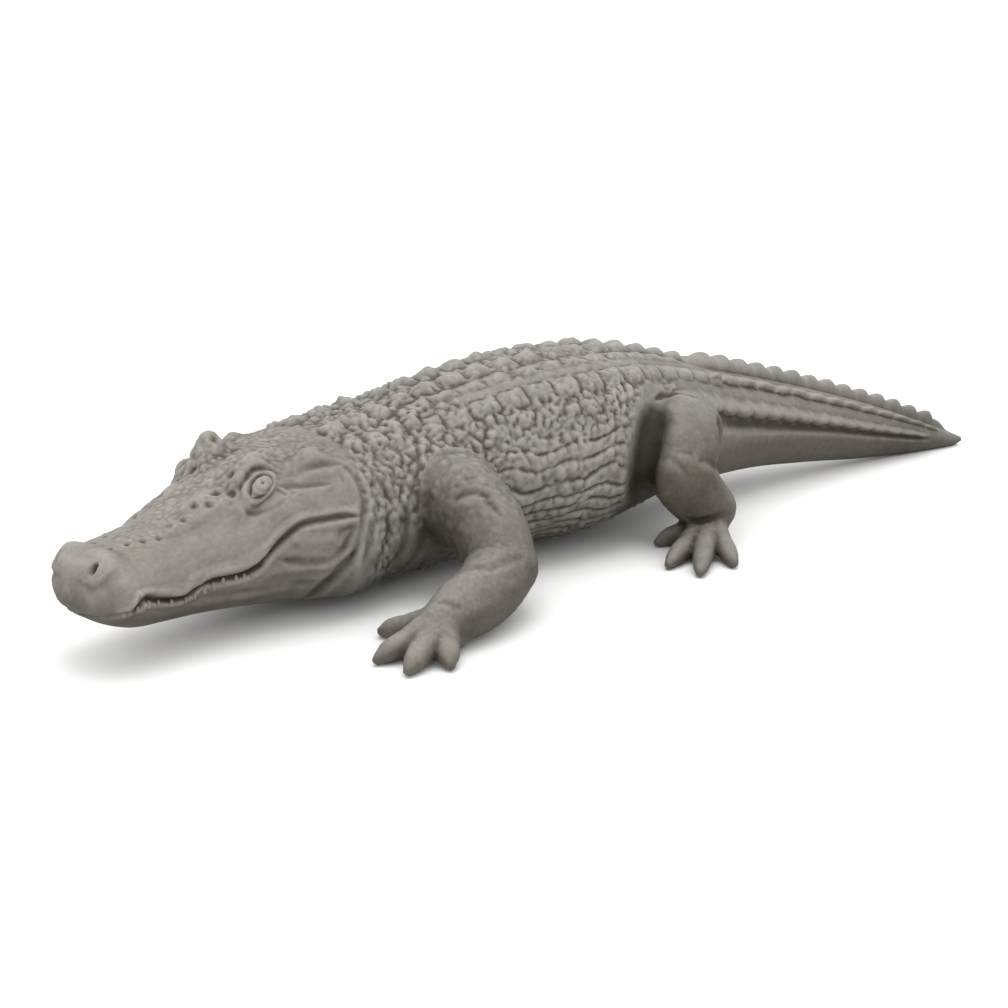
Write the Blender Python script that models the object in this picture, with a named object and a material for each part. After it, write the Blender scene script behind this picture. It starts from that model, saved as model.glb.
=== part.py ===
"""Crocodile sculpture, cast in one piece: a stocky crocodilian resting on its four feet and its tail.

The snout points to -X and the tail to +X, +Z is up, and the animal's left side faces -Y.
The origin is on the ground, in the middle of the footprint. Lengths are metres, and the animal's
own proportions are written as per cent of its length, measured along the back.
"""

import math

import bmesh
import bpy
import numpy as np
from mathutils import Matrix

for old in list(bpy.data.objects):
    bpy.data.objects.remove(old)

# Driving sizes of the sculpture
LENGTH = 1.80  # snout to tail tip, along the spine
SCUTE_PITCH = 0.044  # one cross row of back plates to the next
NAPE_PITCH = 0.040  # one cross row of nape knobs to the next
CREST_PITCH = 0.050  # one plate of the tail crest to the next
SCUTE_HEIGHT = 0.010  # keel of a back plate above the skin
CREST_HEIGHT = 0.017  # plate of the tail crest above the skin
LEDGE_HEIGHT = 0.006  # scalloped ledge along the side of the tail
LIP_STEP = 0.005  # upper lip over the lower jaw
MOUTH_DEPTH = 0.007  # groove between the lips
HEAD_TURN = math.radians(12.5)  # the head looks to the animal's left
TAIL_TURN = math.radians(-9.0)  # the tail comes round to the same side
STONE_GREY = (0.235, 0.222, 0.195, 1.0)
STONE_ROUGHNESS = 0.8
SHARP_EDGE = math.radians(38.0)
ONE = LENGTH / 100.0  # one per cent of the length

# Cross-sections from the snout to the tail tip, in per cent of the length:
# place, half width, top, bottom, height of the widest line, upper and lower roundness
SECTIONS = np.array(
    [
        (0.0, 0.50, 5.75, 4.75, 5.20, 2.0, 2.0),
        (0.3, 1.85, 6.60, 4.10, 5.15, 2.1, 2.0),
        (1.1, 3.05, 7.35, 3.35, 5.05, 2.4, 2.1),
        (2.7, 3.70, 7.60, 2.50, 4.95, 2.6, 2.4),
        (5.1, 3.45, 8.15, 2.15, 4.80, 2.5, 3.0),
        (7.6, 3.85, 9.10, 2.00, 5.00, 2.3, 3.0),
        (10.2, 4.70, 10.20, 1.75, 5.30, 2.4, 3.0),
        (12.2, 5.40, 11.20, 1.50, 5.60, 2.6, 2.9),
        (14.8, 6.50, 11.70, 1.20, 5.70, 2.6, 2.7),
        (17.3, 7.20, 12.00, 0.90, 5.70, 2.5, 2.5),
        (20.4, 7.25, 12.40, 0.60, 5.80, 2.4, 2.4),
        (24.4, 7.25, 13.00, 0.35, 6.10, 2.3, 2.5),
        (28.5, 7.80, 13.75, 0.50, 6.60, 2.3, 2.4),
        (34.6, 8.75, 14.75, 0.70, 7.00, 2.3, 2.3),
        (40.7, 9.35, 15.40, 0.50, 7.10, 2.3, 2.3),
        (46.8, 8.75, 15.30, 1.10, 7.30, 2.3, 2.1),
        (53.0, 7.10, 14.25, 1.90, 7.30, 2.3, 2.1),
        (59.0, 5.60, 12.60, 1.90, 6.80, 2.2, 2.1),
        (66.2, 4.40, 11.00, 1.80, 6.10, 2.1, 2.0),
        (75.4, 3.25, 8.75, 1.10, 4.90, 2.0, 1.9),
        (84.5, 2.25, 6.20, 0.30, 3.40, 2.0, 1.9),
        (93.5, 1.25, 3.20, 0.00, 1.80, 2.0, 2.0),
        (98.5, 0.55, 1.40, 0.00, 0.70, 2.0, 2.0),
        (100.0, 0.15, 0.80, 0.40, 0.60, 2.0, 2.0),
    ]
)

# The spine in plan: the neck and the tail bend to either side of a straight trunk
NECK_BEND = (17.3, 30.5)
TAIL_BEND = (53.0, 100.0)
TRUNK_MIDDLE = 46.2
SPINE_STEPS = 801
ANGLE_NUDGE = 0.004  # looked at to either side of a point, to find which way the skin faces
SHORTEST = 1e-9

# The lip line: its height along the head, and the share of the way round the skin that it keeps
LIP_SHARE = 0.60
LIP_PLACES = np.array([0.0, 0.9, 1.9, 2.6, 4.0, 5.6, 6.9, 9.4, 10.9, 12.0, 13.0, 15.0, 17.0, 20.0])
LIP_HEIGHTS = np.array([4.0, 4.1, 4.5, 5.1, 4.6, 4.2, 4.9, 5.0, 5.8, 6.7, 7.3, 7.4, 7.3, 6.9])
LIP_END = (18.0, 23.0)  # behind the head the skin is evenly divided again
LIP_ANGLES = np.linspace(0.30, 0.90, 61)  # the line is looked for between these angles
MOUTH_OPENS = (0.8, 2.4)  # the groove of the mouth begins over this stretch
MOUTH_CLOSES = (16.4, 17.6)
LIP_SHADOW = 0.02  # the jaw sets in over this share below the lip line
JAW_COMES_OUT = (0.78, 0.95)
GROOVE_BELOW_LIP = 0.015
GROOVE_REACH = 0.03

# Swellings and hollows: place along, share of the way round, reach along, reach round, height in metres
LEFT_BROW = (12.1, 0.150, 2.0, 0.10, 0.019)
RIGHT_BROW = (12.5, 0.125, 1.8, 0.11, 0.029)
PREORBITAL = (8.6, 0.12, 1.6, 0.09, 0.006)
EYE = (11.0, 0.28, 1.3, 0.075, 0.011)
UNDER_EYE = (10.6, 0.385, 2.2, 0.055, -0.004)
NOSTRIL = (1.5, 0.16, 1.1, 0.17, 0.008)
SKULL_CORNER = (15.9, 0.22, 1.4, 0.085, 0.012)
EAR_HOLLOW = (14.4, 0.37, 2.4, 0.075, -0.006)
MOUTH_PAD = (14.6, 0.68, 2.6, 0.085, 0.008)
JOWL = (17.6, 0.80, 4.6, 0.22, 0.010)
JAW_FOLD = (17.9, 0.60, 0.9, 0.30, -0.006)
BOTH_SIDES = (PREORBITAL, EYE, UNDER_EYE, NOSTRIL, SKULL_CORNER, EAR_HOLLOW, MOUTH_PAD, JOWL, JAW_FOLD)

# Plates of the neck, back and tail: where the rows run, and their shares of the way round
NAPE_ROWS = (18.6, 25.2)
NAPE_SHARES = (0.09, 0.21)
BACK_ROWS = (25.2, 57.5)
BACK_SHARES = (0.05, 0.14, 0.23)
BACK_RISES = (25.1, 28.2)  # the plates grow to their full height over this stretch
BACK_SINKS = (56.5, 58.5)
CREST_ROWS = (58.5, 97.0)
CREST_RISES = (56.5, 62.5)
CREST_SINKS = (88.0, 97.0)
LEDGE_SHARES = ((0.22, 0.34), (0.38, 0.50))  # each ledge of the tail, at the hip and at the tip
KNOB_REACH = 0.07
PLATE_REACH = 0.052
CREST_REACH = 0.07
LEDGE_REACH = 0.055
PLATE_PEAK = 0.62  # a keel rises over this part of its pitch and drops over the rest
CREST_FLOOR = 0.3  # what is left of the crest's height between two plates
LEDGE_FLOOR = 0.5

# Legs in per cent of the length: behind the trunk's middle, out, up and radius, at each joint
FORE_LEG = (
    ((-18.6, 3.5, 7.6, 3.4), (-18.6, 8.3, 6.8, 3.1), (-18.7, 11.3, 5.3, 2.7), (-19.2, 13.3, 3.5, 2.45)),
    ((-19.2, 13.3, 3.5, 2.45), (-21.9, 14.8, 2.6, 2.25), (-24.9, 15.5, 2.0, 1.9), (-26.0, 15.7, 1.7, 1.6)),
)
HIND_LEG = (
    ((6.9, 3.3, 7.5, 3.4), (4.7, 6.9, 8.6, 3.4), (2.5, 9.2, 8.3, 3.2), (1.0, 10.5, 6.5, 2.8)),
    ((1.0, 10.5, 6.5, 2.8), (2.4, 10.7, 4.6, 2.6), (4.2, 10.9, 3.0, 2.3)),
)
FORE_TOES = ((-27.9, 11.5), (-30.7, 15.3), (-30.2, 18.0), (-27.7, 18.9), (-23.8, 11.6))
HIND_TOES = ((0.0, 9.2), (-3.5, 13.8), (-3.0, 16.6), (0.6, 16.8))
PALM_RADIUS = 1.75
PALM_FLATNESS = 0.55  # thickness of a palm against its width
PALM_HEIGHT = 0.85  # middle of the palm above the ground
PALM_SPOTS = (0.0, 0.3, 0.5)  # shares of the way from the ankle to the middle of the toe tips
FRONT_TOES = 4  # the toes that a palm points at
TOE_SPOTS = (0.22, 0.55, 0.87, 1.0)  # shares of the way from the ankle to the toe's tip
TOE_HEIGHTS = (0.95, 1.15, 0.68, 0.30)
TOE_RADII = (1.00, 0.85, 0.68, 0.30)
LEG_RINGS, LEG_SIDES = 5, 10
TOE_RINGS, TOE_SIDES = 4, 6
PALM_RINGS, PALM_SIDES = 3, 10
DOME = (0.5, 0.87)  # rings of a rounded end, as the sine of their angle
SEAM_CRUMB = 0.00003  # edges shorter than this along the union's seams are dissolved
SAW_CLOSENESS = 1e-6  # points this near the ground count as on it

# Rings of the body in per cent of the length, besides those on the plates
SNOUT_RINGS = (0.03, 0.15, 0.35, 0.7)
MUZZLE_RINGS = np.arange(1.2, 8.0, 0.95)
SKULL_RINGS = np.arange(8.5, 18.4, 0.75)
TIP_RINGS = (98.3, 99.2, 99.8)
CLOSEST_RINGS = 0.1

# The skin's lines from the back to the belly: on and between the rows of plates, down the flank,
# close together along the lips, and under the jaw and the belly
PLATE_LINES = np.linspace(BACK_SHARES[0], BACK_SHARES[-1], 5)
FLANK_LINES = np.linspace(0.285, 0.53, 4)
LIP_LINES = LIP_SHARE + np.array([-0.005, 0.005, 0.02, 0.05])
BELLY_LINES = (0.72, 0.80, 0.90, 1.0)
SKIN_LINES = np.concatenate([[0.0], PLATE_LINES, FLANK_LINES, LIP_LINES, BELLY_LINES])


def follow(x, knots, values):
    """A smooth curve through the knots, a cubic between each two of them, flat at every turning point."""
    x = np.clip(np.asarray(x, float), knots[0], knots[-1])
    steps = np.diff(knots)
    slopes = np.diff(values) / steps
    tangents = np.empty_like(values)
    tangents[1:-1] = (slopes[:-1] * steps[1:] + slopes[1:] * steps[:-1]) / (steps[1:] + steps[:-1])
    tangents[1:-1][slopes[:-1] * slopes[1:] <= 0] = 0.0
    tangents[0], tangents[-1] = slopes[0], slopes[-1]
    i = np.clip(np.searchsorted(knots, x, side="right") - 1, 0, len(knots) - 2)
    t = (x - knots[i]) / steps[i]
    blend = values[i] * (1 + 2 * t) * (1 - t) ** 2 + values[i + 1] * t * t * (3 - 2 * t)
    return blend + steps[i] * t * (1 - t) * (tangents[i] * (1 - t) - tangents[i + 1] * t)


def ease(x, low, high):
    """0 below low, 1 above high, and a smooth rise between them."""
    t = np.clip((np.asarray(x, float) - low) / (high - low), 0, 1)
    return t * t * (3 - 2 * t)


def hill(x, centre, reach):
    """A smooth bump, 1 at the centre and 0 past its reach."""
    t = np.clip(np.abs(np.asarray(x, float) - centre) / reach, 0, 1)
    return (1 - t * t) ** 2


def spine_line():
    """Places along the back with their plan position and heading. The trunk's middle is at zero."""
    along = np.linspace(0, 100, SPINE_STEPS)
    heading = HEAD_TURN * (1 - ease(along, *NECK_BEND)) + TAIL_TURN * ease(along, *TAIL_BEND)
    step = along[1] * ONE
    x = np.concatenate([[0], np.cumsum((np.cos(heading[1:]) + np.cos(heading[:-1])) / 2 * step)])
    y = np.concatenate([[0], np.cumsum((np.sin(heading[1:]) + np.sin(heading[:-1])) / 2 * step)])
    x -= np.interp(TRUNK_MIDDLE, along, x)
    y -= np.interp(TRUNK_MIDDLE, along, y)
    return along, x, y, heading


ALONG, SPINE_X, SPINE_Y, HEADING = spine_line()


def to_world(along, side, height):
    """The point at a place along the back, a distance to the animal's right and a height."""
    turn = np.interp(along, ALONG, HEADING)
    x = np.interp(along, ALONG, SPINE_X) - np.sin(turn) * side
    y = np.interp(along, ALONG, SPINE_Y) + np.cos(turn) * side
    return np.stack(np.broadcast_arrays(x, y, height), -1)


def plain_section(along, angle):
    """Side and height of the plain body, at a share of a half turn from the back (0) to the belly (1)."""
    width, top, bottom, middle, upper, lower = (
        follow(along, SECTIONS[:, 0], SECTIONS[:, column]) for column in range(1, 7)
    )
    sine, cosine = np.abs(np.sin(angle * math.pi)), np.cos(angle * math.pi)
    power = 2.0 / np.where(cosine > 0, upper, lower)
    reach = np.where(cosine > 0, top - middle, middle - bottom)
    height = middle + reach * np.sign(cosine) * np.abs(cosine) ** power
    return width * sine**power * ONE, height * ONE


def lip_angle(along):
    """The angle of the plain section that is as high as the lip line."""
    heights = np.array([np.ravel(plain_section(along, angle)[1]) for angle in LIP_ANGLES])
    wanted = np.ravel(follow(along, LIP_PLACES, LIP_HEIGHTS)) * ONE
    found = [np.interp(-wanted[k], -heights[:, k], LIP_ANGLES) for k in range(len(wanted))]
    return np.reshape(found, np.shape(along))


def skin_angle(along, share):
    """Bends the way round the skin so that the lip line of the head has one share all along."""
    head = 1 - ease(along, *LIP_END)
    lip = head * lip_angle(along) + (1 - head) * LIP_SHARE
    below = lip + (share - LIP_SHARE) / (1 - LIP_SHARE) * (1 - lip)
    return np.where(share < LIP_SHARE, share / LIP_SHARE * lip, below)


def keel(along, start, pitch):
    """A row of keels from 0 to 1, each rising to the rear and dropping off behind."""
    phase = np.mod((along - start) * ONE / pitch, 1.0)
    rise = np.sin(phase / PLATE_PEAK * math.pi / 2)
    drop = np.cos((phase - PLATE_PEAK) / (1 - PLATE_PEAK) * math.pi / 2)
    return np.where(phase < PLATE_PEAK, rise, drop)


def mouth_relief(along, share):
    """The lower jaw set in under the lip, with the groove between them."""
    mouth = ease(along, *MOUTH_OPENS) * (1 - ease(along, *MOUTH_CLOSES))
    jaw = ease(share, LIP_SHARE, LIP_SHARE + LIP_SHADOW) * (1 - ease(share, *JAW_COMES_OUT))
    groove = hill(share, LIP_SHARE + GROOVE_BELOW_LIP, GROOVE_REACH)
    return -mouth * (LIP_STEP * jaw + MOUTH_DEPTH * groove)


def plate_relief(along, share):
    """Knobs on the nape and keeled plates on the back."""
    nape = (along >= NAPE_ROWS[0]) & (along < NAPE_ROWS[1])
    knobs = nape * keel(along, NAPE_ROWS[0], NAPE_PITCH)
    out = sum(SCUTE_HEIGHT * knobs * hill(share, way, KNOB_REACH) for way in NAPE_SHARES)
    back = ease(along, *BACK_RISES) * (1 - ease(along, *BACK_SINKS))
    plates = back * keel(along, BACK_ROWS[0], SCUTE_PITCH)
    return out + sum(SCUTE_HEIGHT * plates * hill(share, way, PLATE_REACH) for way in BACK_SHARES)


def tail_relief(along, share):
    """The saw-toothed crest on the tail and the scalloped ledges along its sides."""
    tail = ease(along, *CREST_RISES) * (1 - ease(along, *CREST_SINKS))
    saw = keel(along, CREST_ROWS[0], CREST_PITCH)
    crest = CREST_FLOOR + (1 - CREST_FLOOR) * saw
    ledge = LEDGE_FLOOR + (1 - LEDGE_FLOOR) * saw
    out = CREST_HEIGHT * tail * crest * hill(share, 0.0, CREST_REACH)
    for at_hip, at_tip in LEDGE_SHARES:
        way = np.interp(along, CREST_ROWS, (at_hip, at_tip))
        out = out + LEDGE_HEIGHT * tail * ledge * hill(share - way, 0.0, LEDGE_REACH)
    return out


def relief(along, share, hand):
    """How far the skin stands out of the plain section, in metres."""
    out = mouth_relief(along, share) + plate_relief(along, share) + tail_relief(along, share)
    brow = LEFT_BROW if hand < 0 else RIGHT_BROW
    for place, way, reach_along, reach_round, height in (brow, *BOTH_SIDES):
        out = out + height * hill(along, place, reach_along) * hill(share, way, reach_round)
    return out


def skin(along, share, hand):
    """Points of the skin. hand is -1 on the animal's left and 1 on its right."""
    angle = skin_angle(along, share)
    side, height = plain_section(along, angle)
    before = plain_section(along, np.clip(angle - ANGLE_NUDGE, 0, 1))
    after = plain_section(along, np.clip(angle + ANGLE_NUDGE, 0, 1))
    run, rise = after[0] - before[0], after[1] - before[1]
    size = np.maximum(np.hypot(run, rise), SHORTEST)
    out = relief(along, share, hand)
    side = np.maximum(side - rise / size * out, 0.0) * ((share > 0) & (share < 1))
    return to_world(along, hand * side, np.maximum(height + run / size * out, 0.0))


def ring_places():
    """Where the body's rings stand: close on the head, then on every peak and dip of the plates."""
    places = [*SNOUT_RINGS, *MUZZLE_RINGS, *SKULL_RINGS, *TIP_RINGS]
    plates = ((NAPE_ROWS, NAPE_PITCH), (BACK_ROWS, SCUTE_PITCH), (CREST_ROWS, CREST_PITCH))
    for (start, stop), pitch in plates:
        step = pitch / ONE
        for k in range(round((stop - start) / step)):
            places += [start + k * step, start + (k + PLATE_PEAK) * step]
    places = np.sort(np.array(places))
    apart = np.concatenate([[True], np.diff(places) > CLOSEST_RINGS])
    return places[apart]


def closed_tube(name, rings):
    """A closed object over rings of points, capped at both ends."""
    mesh = bmesh.new()
    rows = [[mesh.verts.new(point) for point in ring] for ring in rings]
    count = len(rows[0])
    for near, far in zip(rows, rows[1:]):
        for k in range(count):
            following = (k + 1) % count
            mesh.faces.new((near[k], near[following], far[following], far[k]))
    mesh.faces.new(rows[0][::-1])
    mesh.faces.new(rows[-1])
    bmesh.ops.recalc_face_normals(mesh, faces=mesh.faces)
    data = bpy.data.meshes.new(name)
    mesh.to_mesh(data)
    mesh.free()
    made = bpy.data.objects.new(name, data)
    bpy.context.scene.collection.objects.link(made)
    return made


def make_body():
    """The head, trunk and tail, as rings of skin across the spine."""
    along, share = np.meshgrid(ring_places(), SKIN_LINES, indexing="ij")
    left, right = skin(along, share, -1), skin(along, share, 1)
    rings = [np.concatenate([a, b[-2:0:-1]]) for a, b in zip(left, right)]
    return closed_tube("crocodile", rings)


def make_limb(name, joints, rings, sides, flatness=1.0):
    """A round or flattened tube with domed ends, on a smooth path through joints of x, y, z and radius."""
    joints = np.array(joints, float)
    gaps = np.linalg.norm(np.diff(joints[:, :3], axis=0), axis=1)
    knots = np.concatenate([[0], np.cumsum(gaps)])
    t = np.linspace(0, knots[-1], rings)
    path = np.stack([follow(t, knots, joints[:, column]) for column in range(3)], -1)
    radii = follow(t, knots, joints[:, 3])
    tangents = np.gradient(path, axis=0)
    tangents /= np.linalg.norm(tangents, axis=1, keepdims=True)
    centres = [path[0] - tangents[0] * radii[0] * sine for sine in DOME[::-1]]
    centres += [*path, *(path[-1] + tangents[-1] * radii[-1] * sine for sine in DOME)]
    dome_radii = [math.sqrt(1 - sine**2) for sine in DOME]
    radii = [*(radii[0] * r for r in dome_radii[::-1]), *radii, *(radii[-1] * r for r in dome_radii)]
    tangents = [tangents[0]] * len(DOME) + [*tangents] + [tangents[-1]] * len(DOME)
    turns = np.linspace(0, 2 * math.pi, sides, endpoint=False)
    across = np.cross(tangents[0], (0, 0, 1.0))
    loops = []
    for centre, ahead, radius in zip(centres, tangents, radii):
        across = across - ahead * np.dot(across, ahead)
        across /= np.linalg.norm(across)
        up = np.cross(across, ahead)
        circle = np.outer(np.cos(turns), across) + flatness * np.outer(np.sin(turns), up)
        loops.append(centre + radius * circle)
    return closed_tube(name, loops)


def make_leg(name, bones, toes, hand):
    """A leg in two limbs, its palm and its toes, as pieces that the union fuses."""
    def place(behind, out, up, radius):
        return (behind * ONE, hand * out * ONE, up * ONE, radius * ONE)

    pieces = [
        make_limb(f"{name}_{k}", [place(*joint) for joint in joints], LEG_RINGS, LEG_SIDES)
        for k, joints in enumerate(bones)
    ]
    ankle = np.array(bones[-1][-1][:2])
    ahead = np.mean(toes[:FRONT_TOES], axis=0) - ankle
    pads = [place(*(ankle + ahead * share), PALM_HEIGHT, PALM_RADIUS) for share in PALM_SPOTS]
    pieces.append(make_limb(f"{name}_palm", pads, PALM_RINGS, PALM_SIDES, PALM_FLATNESS))
    for k, toe in enumerate(toes):
        spots = [ankle + (np.array(toe) - ankle) * share for share in TOE_SPOTS]
        joints = [place(*spot, up, radius) for spot, up, radius in zip(spots, TOE_HEIGHTS, TOE_RADII)]
        pieces.append(make_limb(f"{name}_toe_{k}", joints, TOE_RINGS, TOE_SIDES))
    return pieces


def fuse(body, pieces):
    """Joins the legs on, then saws the soles off flat at the ground."""
    limbs = bpy.data.collections.new("limbs")
    for piece in pieces:
        bpy.context.scene.collection.objects.unlink(piece)
        limbs.objects.link(piece)
    bpy.context.scene.collection.children.link(limbs)
    union = body.modifiers.new("limbs joined on", "BOOLEAN")
    union.operation = "UNION"
    union.operand_type = "COLLECTION"
    union.collection = limbs
    graph = bpy.context.evaluated_depsgraph_get()
    mesh = bmesh.new()
    mesh.from_mesh(bpy.data.meshes.new_from_object(body.evaluated_get(graph)))
    bmesh.ops.dissolve_degenerate(mesh, dist=SEAM_CRUMB, edges=mesh.edges[:])
    everything = mesh.verts[:] + mesh.edges[:] + mesh.faces[:]
    bmesh.ops.bisect_plane(
        mesh, geom=everything, dist=SAW_CLOSENESS, plane_co=(0, 0, 0), plane_no=(0, 0, 1), clear_inner=True
    )
    rim = [edge for edge in mesh.edges if edge.is_boundary]
    bmesh.ops.holes_fill(mesh, edges=rim, sides=0)
    body.modifiers.clear()
    mesh.to_mesh(body.data)
    mesh.free()
    for piece in pieces:
        bpy.data.objects.remove(piece)


def centre_footprint(body):
    """Moves the mesh so that the middle of its footprint is the origin."""
    corners = np.array([vertex.co for vertex in body.data.vertices])
    middle = (corners.min(axis=0) + corners.max(axis=0)) / 2
    body.data.transform(Matrix.Translation((-middle[0], -middle[1], 0)))
    return middle


def stone_finish():
    """The warm grey of the casting all over."""
    finish = bpy.data.materials.new("warm grey cast stone finish")
    finish.use_nodes = True
    shader = finish.node_tree.nodes["Principled BSDF"]
    shader.inputs["Base Color"].default_value = STONE_GREY
    shader.inputs["Roughness"].default_value = STONE_ROUGHNESS
    shader.inputs["Metallic"].default_value = 0.0
    return finish


crocodile = make_body()
limb_pieces = []
for hand, side_name in ((-1, "left"), (1, "right")):
    limb_pieces += make_leg(f"{side_name}_fore_leg", FORE_LEG, FORE_TOES, hand)
    limb_pieces += make_leg(f"{side_name}_hind_leg", HIND_LEG, HIND_TOES, hand)
fuse(crocodile, limb_pieces)
TRUNK_OFFSET = centre_footprint(crocodile)
crocodile.data.shade_smooth()
crocodile.data.set_sharp_from_angle(angle=SHARP_EDGE)
crocodile.data.materials.clear()
crocodile.data.materials.append(stone_finish())
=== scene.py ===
import math
from functools import partial

import bmesh
import bpy
import numpy as np
from mathutils import Matrix, Vector


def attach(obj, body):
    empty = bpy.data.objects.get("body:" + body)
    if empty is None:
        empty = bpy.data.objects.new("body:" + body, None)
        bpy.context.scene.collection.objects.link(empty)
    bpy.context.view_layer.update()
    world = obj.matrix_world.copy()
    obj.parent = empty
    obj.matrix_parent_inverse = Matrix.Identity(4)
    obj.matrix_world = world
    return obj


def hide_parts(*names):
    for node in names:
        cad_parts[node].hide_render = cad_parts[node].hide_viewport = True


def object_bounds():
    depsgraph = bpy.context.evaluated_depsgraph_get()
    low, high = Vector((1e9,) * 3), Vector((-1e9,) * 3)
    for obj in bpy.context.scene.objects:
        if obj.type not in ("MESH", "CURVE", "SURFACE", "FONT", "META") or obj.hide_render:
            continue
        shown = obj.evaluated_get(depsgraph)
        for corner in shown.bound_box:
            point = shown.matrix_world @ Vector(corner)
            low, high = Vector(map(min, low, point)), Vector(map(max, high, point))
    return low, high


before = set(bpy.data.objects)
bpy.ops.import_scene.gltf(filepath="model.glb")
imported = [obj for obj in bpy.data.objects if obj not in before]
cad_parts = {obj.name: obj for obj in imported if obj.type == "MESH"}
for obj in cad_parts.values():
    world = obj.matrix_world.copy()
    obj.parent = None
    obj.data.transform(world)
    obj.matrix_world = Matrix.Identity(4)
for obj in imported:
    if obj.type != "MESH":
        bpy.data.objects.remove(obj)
cad_low, cad_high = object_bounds()

# The camera stands off the animal's left shoulder, a little above its back, and looks down over
# the head towards the tail. Its place and lens were fitted to the outline in the photograph.
camera_yaw, camera_tilt = math.radians(-38.7), math.radians(15.6)
camera_level = math.cos(camera_tilt)
camera_back = Vector(
    (math.sin(camera_yaw) * camera_level, -math.cos(camera_yaw) * camera_level, math.sin(camera_tilt))
)
camera_right = Vector((math.cos(camera_yaw), math.sin(camera_yaw), 0.0))
camera = bpy.data.objects.new("camera", bpy.data.cameras.new("camera"))
camera.data.lens, camera.data.sensor_width = 42.857, 36.0
camera_axes = Matrix((camera_right, camera_back.cross(camera_right), camera_back))
camera.matrix_world = camera_axes.transposed().to_4x4()
camera.location = (-1.2805, -1.3238, 0.5295)
bpy.context.scene.collection.objects.link(camera)
bpy.context.scene.camera = camera
bpy.context.scene.view_settings.view_transform = "Standard"

# The studio: a pale floor as wide as the eye can see, an even white surround and three soft lights,
# the widest of them overhead.
floor_mesh = bpy.data.meshes.new("studio_floor")
floor_mesh.from_pydata([(-40, -40, 0), (40, -40, 0), (40, 40, 0), (-40, 40, 0)], [], [(0, 1, 2, 3)])
studio_floor = bpy.data.objects.new("studio_floor", floor_mesh)
bpy.context.scene.collection.objects.link(studio_floor)
floor_paint = bpy.data.materials.new("pale studio floor")
floor_paint.use_nodes = True
floor_paint.node_tree.nodes["Principled BSDF"].inputs["Base Color"].default_value = (0.84, 0.84, 0.835, 1)
floor_paint.node_tree.nodes["Principled BSDF"].inputs["Roughness"].default_value = 0.9
floor_mesh.materials.append(floor_paint)

surround = bpy.data.worlds.new("white surround")
surround.use_nodes = True
sky = surround.node_tree
sky_direction = sky.nodes.new("ShaderNodeTexCoord").outputs["Generated"]
sky_height = sky.nodes.new("ShaderNodeSeparateXYZ")
sky.links.new(sky_direction, sky_height.inputs[0])
sky_tone = sky.nodes.new("ShaderNodeMapRange")
sky.links.new(sky_height.outputs["Z"], sky_tone.inputs["Value"])
for label, value in (("From Min", 0.15), ("From Max", 0.9), ("To Min", 1.02), ("To Max", 1.5)):
    sky_tone.inputs[label].default_value = value
sky.links.new(sky_tone.outputs["Result"], sky.nodes["Background"].inputs["Strength"])
sky.nodes["Background"].inputs["Color"].default_value = (1, 1, 1, 1)
bpy.context.scene.world = surround
for light_name, place, target, width, power in (
    ("overhead soft light", (-0.5, -0.3, 3.0), (-0.1, 0.0, 0.1), 2.2, 30.0),
    ("front soft light", (-2.6, -2.2, 1.9), (-0.3, 0.0, 0.1), 1.4, 8.0),
    ("rear soft light", (2.4, 2.2, 2.2), (0.1, 0.0, 0.1), 1.8, 3.0),
):
    lamp = bpy.data.objects.new(light_name, bpy.data.lights.new(light_name, "AREA"))
    lamp.data.shape, lamp.data.size, lamp.data.energy = "DISK", width, power
    lamp.location = place
    lamp.rotation_euler = (Vector(target) - Vector(place)).to_track_quat("-Z", "Y").to_euler()
    bpy.context.scene.collection.objects.link(lamp)

# The skin of the head, trunk and tail, as the sculptor laid it over the plain body: rings across a
# spine that bends at the neck and the tail. Places run from 0 at the snout to 100 at the tail's tip,
# shares of the way round from 0 on the back to 1 under the belly.
LENGTH = 1.80
ONE = LENGTH / 100
ORIGIN_BEHIND = 0.068708  # the footprint's middle lies this far behind the trunk's middle
HEAD_TURN, TAIL_TURN = math.radians(12.5), math.radians(-9.0)
NECK_BEND, TAIL_BEND, TRUNK_MIDDLE = (17.3, 30.5), (53.0, 100.0), 46.2
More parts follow.
